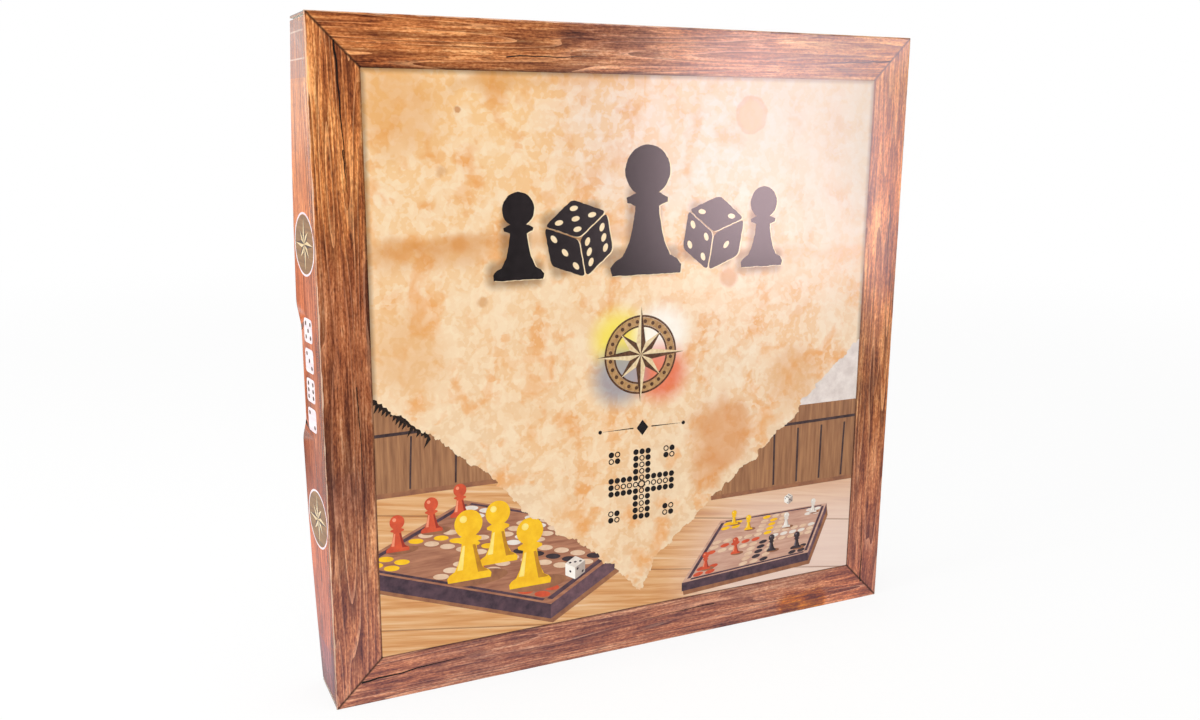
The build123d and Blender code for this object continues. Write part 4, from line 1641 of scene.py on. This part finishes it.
wall_ink = build_ink("pale wall ink under film", "#F4E9EA", "#E3D0D6", 3)
wall_gold = build_ink("brown gold wall ink under film", "#9A7040", "#7A5430", 3)
wall_inks = {"pale": wall_ink, "gold": wall_gold, "cream": emblem_cream, "brown": emblem_brown}
wall_figures = {
    ("pale", "backdrop"): [], ("brown", "board"): [], ("gold", "backdrop"): [], ("cream", "board"): [],
}
for z, value in WALL_DICE:
    wall_figures["pale", "backdrop"].append(rounded(band(-7, 7, z - 7, z + 7), 2.6))
    pips = [disc(3.9 * i, z + 3.9 * j, 1.35, 16) for i, j in PIP_GRID[value]]
    wall_figures["brown", "board"] += pips
for z in WALL_STARS:
    lit, shaded = star_halves(0, z, 15.5, 10.5, 5.2)
    wall_figures["pale", "backdrop"] += ring(0, z, 18, 16.8, 40)
    wall_figures["gold", "backdrop"].append(disc(0, z, 16.6, 40))
    wall_figures["cream", "board"] += lit
    wall_figures["brown", "board"] += shaded
for (tone, layer), outlines in wall_figures.items():
    onto_left_wall(skin(f"wall_{tone}_{layer}", outlines, layer, wall_inks[tone], front=0.0))
print("left wall figures:", sum(len(outlines) for outlines in wall_figures.values()), "outlines")

# %% [markdown]
# The card itself is seen inside the lid, on the whole base and at every cut. Its lining is bleached
# paper, with a faint mottle of fibres a few millimetres across. The cut shows the grey, woolly layers
# of the board, which soak up light and have no gloss.

# %% Plain card
CARD_ROUGHNESS = 0.82
CARD_SHEEN = 0.3  # how much it mirrors, where 0.5 is the usual


def build_card(name, light_hex, dark_hex, mottle, fleck):
    """Uncoated card: a mottle and a fleck, both in millimetres, between two close tones."""
    material, tree, shader = new_material(name)
    shader.inputs["Roughness"].default_value = CARD_ROUGHNESS
    shader.inputs["Specular IOR Level"].default_value = CARD_SHEEN
    place = add_node(tree, "ShaderNodeTexCoord").outputs["Object"]
    broad = add_node(tree, NOISE_TEX, {"Vector": place, "Scale": 1 / (mottle * MM), "Detail": 3})
    fine = add_node(tree, NOISE_TEX, {"Vector": place, "Scale": 1 / (fleck * MM), "Detail": 2})
    both = add_node(tree, MATH, {0: broad, 1: fine}, operation="MULTIPLY")
    value = add_node(tree, MAP_RANGE, {"Value": both, "From Min": 0.12, "From Max": 0.4})
    ramp = add_node(tree, "ShaderNodeValToRGB", {"Fac": value})
    tree.links.new(fill_ramp(ramp, [(0.0, dark_hex), (1.0, light_hex)]), shader.inputs["Base Color"])
    bump = add_node(tree, "ShaderNodeBump", {"Height": fine, "Strength": 0.25, "Distance": 0.05 * MM})
    tree.links.new(bump.outputs[0], shader.inputs["Normal"])
    return material


def finish_piece(piece, node_name, angle=35):
    """Shade a piece smooth where it is round, and let it stand for its node and ride on its body."""
    bpy.ops.object.select_all(action="DESELECT")
    piece.select_set(True)
    bpy.context.view_layer.objects.active = piece
    bpy.ops.object.shade_smooth_by_angle(angle=math.radians(angle))
    piece.select_set(False)
    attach(piece, node_name)
    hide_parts(node_name)


white_card = build_card("bleached card lining", "#F5F4F0", "#E5E3DD", 6, 0.8)
cut_card = build_card("cut edge of card", "#D9D2C6", "#A89F92", 1.5, 0.35)
for material in (wood_print, plank_print, white_card, cut_card):  # in the order of FINISHES
    lid_card.data.materials.append(material)
finish_piece(lid_card, "lid")
print("lid finishes:", len(lid_card.data.materials))

# %% [markdown]
# The base is white card outside and inside. Only the rim of its walls, which faces the front, is cut.

# %% Base
base_card = merged_copy("base", "base_card")
base_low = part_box("base")[0]
base_card.data.materials.append(white_card)
base_card.data.materials.append(cut_card)
for face in base_card.data.polygons:
    face.material_index = int(face.center.y < base_low.y + HAIR)
finish_piece(base_card, "base")
print("base rim faces:", sum(face.material_index for face in base_card.data.polygons))

# %% [markdown]
# The board is one piece of softwood with bevelled edges, under satin lacquer. Its grain runs from side
# to side, with growth rings from the same thin lines as on the printed frame, and fibres under a
# millimetre wide that also raise the surface a little.

# %% Wood of the board
BOARD_RING, BOARD_FIBRE, BOARD_STREAK = (420, 46), (16, 0.7), (70, 2.4)  # millimetres along and across
BOARD_RING_COUNT = 14
BOARD_TONES = [(0.0, "#B98450"), (0.5, "#D2A26C"), (1.0, "#E6C08C")]


def build_board_wood():
    """Lacquered softwood: rings and fibres along x, in real millimetres."""
    material, tree, shader = new_material("lacquered spruce")
    shader.inputs["Roughness"].default_value = 0.42
    shader.inputs["Coat Weight"].default_value = 0.25
    shader.inputs["Coat Roughness"].default_value = 0.3
    place = add_node(tree, "ShaderNodeTexCoord").outputs["Object"]
    in_mm = add_node(tree, VECTOR_MATH, {0: place, 1: (1 / MM, 1 / MM, 1 / MM)}, operation="MULTIPLY")
    x, y, z = add_node(tree, "ShaderNodeSeparateXYZ", {0: in_mm}).outputs
    across = add_node(tree, MATH, {0: y, 1: z}, operation="ADD")
    flat = add_node(tree, "ShaderNodeCombineXYZ", {"X": x, "Y": across})
    bend = grain_noise(tree, flat, BOARD_RING, 1, 0.2)
    fibre = grain_noise(tree, flat, BOARD_FIBRE, 3)
    streak = grain_noise(tree, flat, BOARD_STREAK, 4, 0.3)
    both = add_node(tree, MATH, {0: fibre, 1: streak}, operation="ADD")
    value = add_node(tree, MAP_RANGE, {"Value": both, "From Min": 0.75, "From Max": 1.25})
    ramp = add_node(tree, "ShaderNodeValToRGB", {"Fac": value})
    colour = fill_ramp(ramp, BOARD_TONES)
    rings = ring_lines(tree, ring_saw(tree, bend, BOARD_RING_COUNT), 0.7, 0.96)
    colour = tone_over(tree, colour, rings, "#A66B38", 0.5)
    tree.links.new(colour, shader.inputs["Base Color"])
    bump = add_node(tree, "ShaderNodeBump", {"Height": fibre, "Strength": 0.12, "Distance": 0.06 * MM})
    tree.links.new(bump.outputs[0], shader.inputs["Normal"])
    return material


board_wood = build_board_wood()
nodes["board"].data.materials.clear()
nodes["board"].data.materials.append(board_wood)
print("board wood:", len(board_wood.node_tree.nodes), "nodes")

# %% [markdown]
# The fields are printed on the board as skins: a cross of discs in the four colours, each with a brown
# ring, the homes at the corners, a compass star in the middle and a double line round it all.

# %% Fields of the board
FIELD_PITCH = 31.5
FIELD_R = 11.0
FIELD_LINE = 1.3
BORDER = 5.9 * FIELD_PITCH
FIELD_TONES = {
    "yellow": ("#F2BE2A", "#DDA31C"),
    "red": ("#CF4326", "#B23420"),
    "white": ("#F0ECE2", "#DCD5C6"),
    "black": ("#34302F", "#211E1D"),
    "plain": ("#EBD9B6", "#DCC598"),
    "outline": ("#4A2C19", "#331D10"),
}

board_low, board_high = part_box("board")
board_z = ((board_low.z + board_high.z) / 2 - MIDDLE_Z) / MM
field_inks = {}
for name, (light, dark) in FIELD_TONES.items():
    field_inks[name] = build_ink(f"{name} field paint", light, dark, 9)
fields, field_lines = {}, []
for i, j, kind in ludo_cells():
    x, z = i * FIELD_PITCH, board_z + j * FIELD_PITCH
    fields.setdefault(cell_colour(i, j, kind) or "plain", []).append(disc(x, z, FIELD_R, 40))
    field_lines += ring(x, z, FIELD_R + FIELD_LINE, FIELD_R, 40)
for half in (BORDER, BORDER - 2):
    square = rounded(band(-half, half, -half, half), 14)
    field_lines.append([(x, z + board_z) for x, z in square])
star_lit, star_shaded = star_halves(0, board_z, 20, 13, 5.6)
fields["plain"] += star_lit
field_lines += star_shaded
for name, outlines in {**fields, "outline": field_lines}.items():
    skin(f"board_{name}", outlines, "backdrop", field_inks[name], "board", board_low.y)
print("board fields:", sum(len(outlines) for outlines in fields.values()))

# %% [markdown]
# The insert is glued up from sheets of brown corrugated card. On its face the flutes show as faint
# ridges 7 mm apart, with painted shade in the valleys between them, under a mottle and dark flecks of
# recycled fibre.

# %% Liner of the corrugated card
SHEET_T = 3.6
FLUTE_PITCH = 7.0
LINER_TONES = [(0.3, "#A57C50"), (0.5, "#B88E60"), (0.7, "#C69E70")]


def build_liner(tree, in_mm, x):
    """The liner's colour with painted shade in the valleys, and how deep between two flutes each point lies.
    """
    mottle = add_node(tree, NOISE_TEX, {"Vector": in_mm, "Scale": 1 / 5, "Detail": 4})
    ramp = add_node(tree, "ShaderNodeValToRGB", {"Fac": mottle})
    liner = fill_ramp(ramp, LINER_TONES)
    fleck = add_node(tree, NOISE_TEX, {"Vector": in_mm, "Scale": 1.4, "Detail": 2})
    dark = add_node(tree, MAP_RANGE, {"Value": fleck, "From Min": 0.66, "From Max": 0.72})
    liner = tone_over(tree, liner, dark, "#7C5833", 0.5)
    phase = add_node(tree, MATH, {0: x, 1: math.tau / FLUTE_PITCH}, operation="MULTIPLY")
    ridge = add_node(tree, MATH, {0: phase}, operation="SINE")
    valley = add_node(tree, MAP_RANGE, {"Value": ridge, "From Min": -1.0, "From Max": 1.0})
    # Painted shade: the liner is darkened in the valleys between the flutes.
    return tone_over(tree, liner, valley, "#9C7347", 0.2), valley


print("flutes are", FLUTE_PITCH, "mm apart")

# %% [markdown]
# In the cut walls of the nests the sheets show from the side, about 3.6 mm each: two thin liners with a
# wave between them, and painted shade in the hollows between wave and liners. The wave is worked out
# from the place on the wall, so it runs on round each nest.
# Which of the two a point shows is decided by where its surface faces.

# %% Insert
WAVE_HEIGHT, WAVE_HALF, LINER_FROM = 0.36, 0.1, 0.42  # as shares of a sheet, from its middle


def build_cut_sheets(tree, liner, x, y, z):
    """The colour of the cut edge: painted shade in the hollows between the wave and the liners of each sheet.
    """
    layer = add_node(tree, MATH, {0: y, 1: 1 / SHEET_T}, operation="MULTIPLY")
    in_sheet = add_node(tree, MATH, {0: layer}, operation="FRACT")
    side = add_node(tree, MATH, {0: x, 1: z}, operation="ADD")
    phase = add_node(tree, MATH, {0: side, 1: math.tau / FLUTE_PITCH}, operation="MULTIPLY")
    wave = add_node(tree, MATH, {0: phase}, operation="SINE")
    crest = add_node(tree, MATH, {0: wave, 1: WAVE_HEIGHT, 2: 0.5}, operation="MULTIPLY_ADD")
    off_wave = add_node(tree, MATH, {0: in_sheet, 1: crest}, operation="SUBTRACT")
    wave_gap = add_node(tree, MATH, {0: off_wave}, operation="ABSOLUTE")
    off_middle = add_node(tree, MATH, {0: in_sheet, 1: 0.5}, operation="SUBTRACT")
    liner_gap = add_node(tree, MATH, {0: off_middle}, operation="ABSOLUTE")
    off_paper = add_node(tree, MATH, {0: wave_gap, 1: WAVE_HALF}, operation="GREATER_THAN")
    between = add_node(tree, MATH, {0: liner_gap, 1: LINER_FROM}, operation="LESS_THAN")
    # Painted shade fills the hollows between the wave and the liners.
    shaded_hollow = add_node(tree, MATH, {0: off_paper, 1: between}, operation="MULTIPLY")
    return tone_over(tree, liner, shaded_hollow, "#4B331D", 0.75)


def build_corrugated():
    """Brown corrugated card, seen on its liner and on its cut edge."""
    material, tree, shader = new_material("brown corrugated card")
    shader.inputs["Roughness"].default_value = 0.88
    shader.inputs["Specular IOR Level"].default_value = 0.2
    place = add_node(tree, "ShaderNodeTexCoord").outputs["Object"]
    in_mm = add_node(tree, VECTOR_MATH, {0: place, 1: (1 / MM, 1 / MM, 1 / MM)}, operation="MULTIPLY")
    x, y, z = add_node(tree, "ShaderNodeSeparateXYZ", {0: in_mm}).outputs
    liner, valley = build_liner(tree, in_mm, x)
    cut = build_cut_sheets(tree, liner, x, y, z)
    facing = add_node(tree, "ShaderNodeNewGeometry")
    normal = add_node(tree, "ShaderNodeSeparateXYZ", {0: facing.outputs["True Normal"]})
    level = add_node(tree, MATH, {0: normal.outputs["Y"]}, operation="ABSOLUTE")
    on_face = add_node(tree, MATH, {0: level, 1: 0.5}, operation="GREATER_THAN")
    mix = add_node(tree, "ShaderNodeMix", {MIX_FACTOR: on_face, MIX_A: cut, MIX_B: liner}, data_type="RGBA")
    tree.links.new(mix.outputs[MIX_OUT], shader.inputs["Base Color"])
    bump = add_node(tree, "ShaderNodeBump", {"Height": valley, "Strength": 0.3, "Distance": 0.25 * MM})
    tree.links.new(bump.outputs[0], shader.inputs["Normal"])
    return material


nodes["insert"].data.materials.clear()
nodes["insert"].data.materials.append(build_corrugated())
print("insert:", len(nodes["insert"].data.polygons), "faces")

# %% [markdown]
# The leaflet is a folded sheet of uncoated paper. Its front page shows the plan of the board again,
# between two ruled lines, with a die above and a playing piece below it, all in one dark ink.

# %% Leaflet
PAGE_PITCH = 8.6
PAGE_FIELD_R, PAGE_HOLE_R = 3.6, 2.7
RULE_HALF, RULE_AWAY = 50, 58  # half the length of the ruled lines, and how far they lie from the middle

leaflet_low, leaflet_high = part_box("leaflet")
page_z = ((leaflet_low.z + leaflet_high.z) / 2 - MIDDLE_Z) / MM
leaflet_paper = build_card("uncoated leaflet paper", "#F3EFE4", "#E5DFD0", 9, 0.5)
nodes["leaflet"].data.materials.clear()
nodes["leaflet"].data.materials.append(leaflet_paper)
page = []
for i, j, kind in ludo_cells():
    x, z = i * PAGE_PITCH, page_z + j * PAGE_PITCH
    page.append(disc(x, z, PAGE_FIELD_R, 24))
    if kind != "home":
        page.append(disc(x, z, PAGE_HOLE_R, 24))
for z in (page_z - RULE_AWAY, page_z + RULE_AWAY):
    page.append(band(-RULE_HALF, RULE_HALF, z - 0.5, z + 0.5))
page.append(pawn_shape(0, page_z - 92, 26))
for face, value in zip(cube_faces(0, page_z + 80, 11, 8), (2, 5, 4)):
    page.append(face_outline(face, 0.03, 0.13))
    page += face_pips(face, value)
skin("leaflet_print", page, "backdrop", black_ink, "leaflet", leaflet_low.y)
print("leaflet print:", len(page), "outlines")

# %% [markdown]
# The pawns and the die are small turned or sawn pieces of beech. Their edges are eased, so each CAD
# piece is copied, its flat faces are joined, and a bevel of a few tenths of a millimetre runs round
# every sharp edge. The pawns are dipped in paint, which leaves a satin skin with the grain just showing.


# %% Pawns
def eased_copy(node_name, piece_name, width, segments=3):
    """A merged copy of a node with its flat faces joined and its sharp edges rounded."""
    piece = merged_copy(node_name, piece_name)
    bpy.ops.object.mode_set(mode="EDIT")
    bpy.ops.mesh.select_all(action="SELECT")
    bpy.ops.mesh.dissolve_limited(angle_limit=math.radians(1))
    bpy.ops.mesh.select_all(action="DESELECT")
    bpy.ops.object.mode_set(mode="OBJECT")
    bevel = piece.modifiers.new("eased", "BEVEL")
    bevel.width = width * MM
    bevel.segments = segments
    bevel.limit_method = "ANGLE"
    bevel.angle_limit = math.radians(32)
    bpy.ops.object.modifier_apply(modifier=bevel.name)
    return piece


def build_paint(name, light_hex, dark_hex, roughness=0.38):
    """Dip paint on beech: satin, with fine grain along the height just showing through."""
    material, tree, shader = new_material(name)
    shader.inputs["Roughness"].default_value = roughness
    place = add_node(tree, "ShaderNodeTexCoord").outputs["Object"]
    scaled = add_node(
        tree, VECTOR_MATH, {0: place, 1: (1 / (0.8 * MM), 1 / (0.8 * MM), 1 / (9 * MM))},
        operation="MULTIPLY",
    )
    grain = add_node(tree, NOISE_TEX, {"Vector": scaled, "Scale": 1.0, "Detail": 3})
    cloud = add_node(tree, NOISE_TEX, {"Vector": place, "Scale": 1 / (7 * MM), "Detail": 2})
    both = add_node(tree, MATH, {0: grain, 1: cloud}, operation="ADD")
    value = add_node(tree, MAP_RANGE, {"Value": both, "From Min": 0.75, "From Max": 1.25})
    ramp = add_node(tree, "ShaderNodeValToRGB", {"Fac": value})
    tree.links.new(fill_ramp(ramp, [(0.0, dark_hex), (1.0, light_hex)]), shader.inputs["Base Color"])
    bump = add_node(tree, "ShaderNodeBump", {"Height": grain, "Strength": 0.15, "Distance": 0.08 * MM})
    tree.links.new(bump.outputs[0], shader.inputs["Normal"])
    return material


pawn_paints = {
    "yellow": build_paint("yellow dip paint on beech", "#F5BC1E", "#E6A512"),
    "red": build_paint("red dip paint on beech", "#D23C22", "#B83019"),
    "white": build_paint("white dip paint on beech", "#F0EDE5", "#DFDACD"),
    "black": build_paint("black dip paint on beech", "#2F2B2A", "#1F1C1B"),
}
pawn_names = sorted(name for name in nodes if name.startswith("pawn_"))
for name in pawn_names:
    colour = name.split("_")[1]
    pawn = eased_copy(name, f"painted_{name}", 0.9)
    pawn.data.materials.append(pawn_paints[colour])
    finish_piece(pawn, name, 40)
print("pawns:", len(pawn_names))

# %% [markdown]
# The die is oiled beech, a little duller than the paint, with dark paint in its sunk pips. A face lies
# in a pip when it is sunk below the die's side and away from the die's edges.

# %% Die
PIP_AREA = 6.2 * MM  # the pips lie no further than this from the middle of a side
PIP_SINK = 0.05 * MM  # and deeper than this

beech = build_paint("oiled beech", "#D9B380", "#C0925E", 0.5)
pip_paint = build_paint("dark pip paint", "#2C211C", "#1C1512")
die_low, die_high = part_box("die")
die_middle = (die_low + die_high) / 2
die_half = (die_high.x - die_low.x) / 2


def is_pip_face(offset):
    """Whether a face of the die, by its centre, lies in a pip."""
    _, middle, high = sorted(abs(c) for c in offset)
    return middle < PIP_AREA and die_half - high > PIP_SINK


die = eased_copy("die", "beech_die", 0.25, 2)
die.data.materials.append(beech)
die.data.materials.append(pip_paint)
for face in die.data.polygons:
    face.material_index = int(is_pip_face(face.center - die_middle))
finish_piece(die, "die", 40)
print("die:", sum(face.material_index for face in die.data.polygons), "faces in its pips")
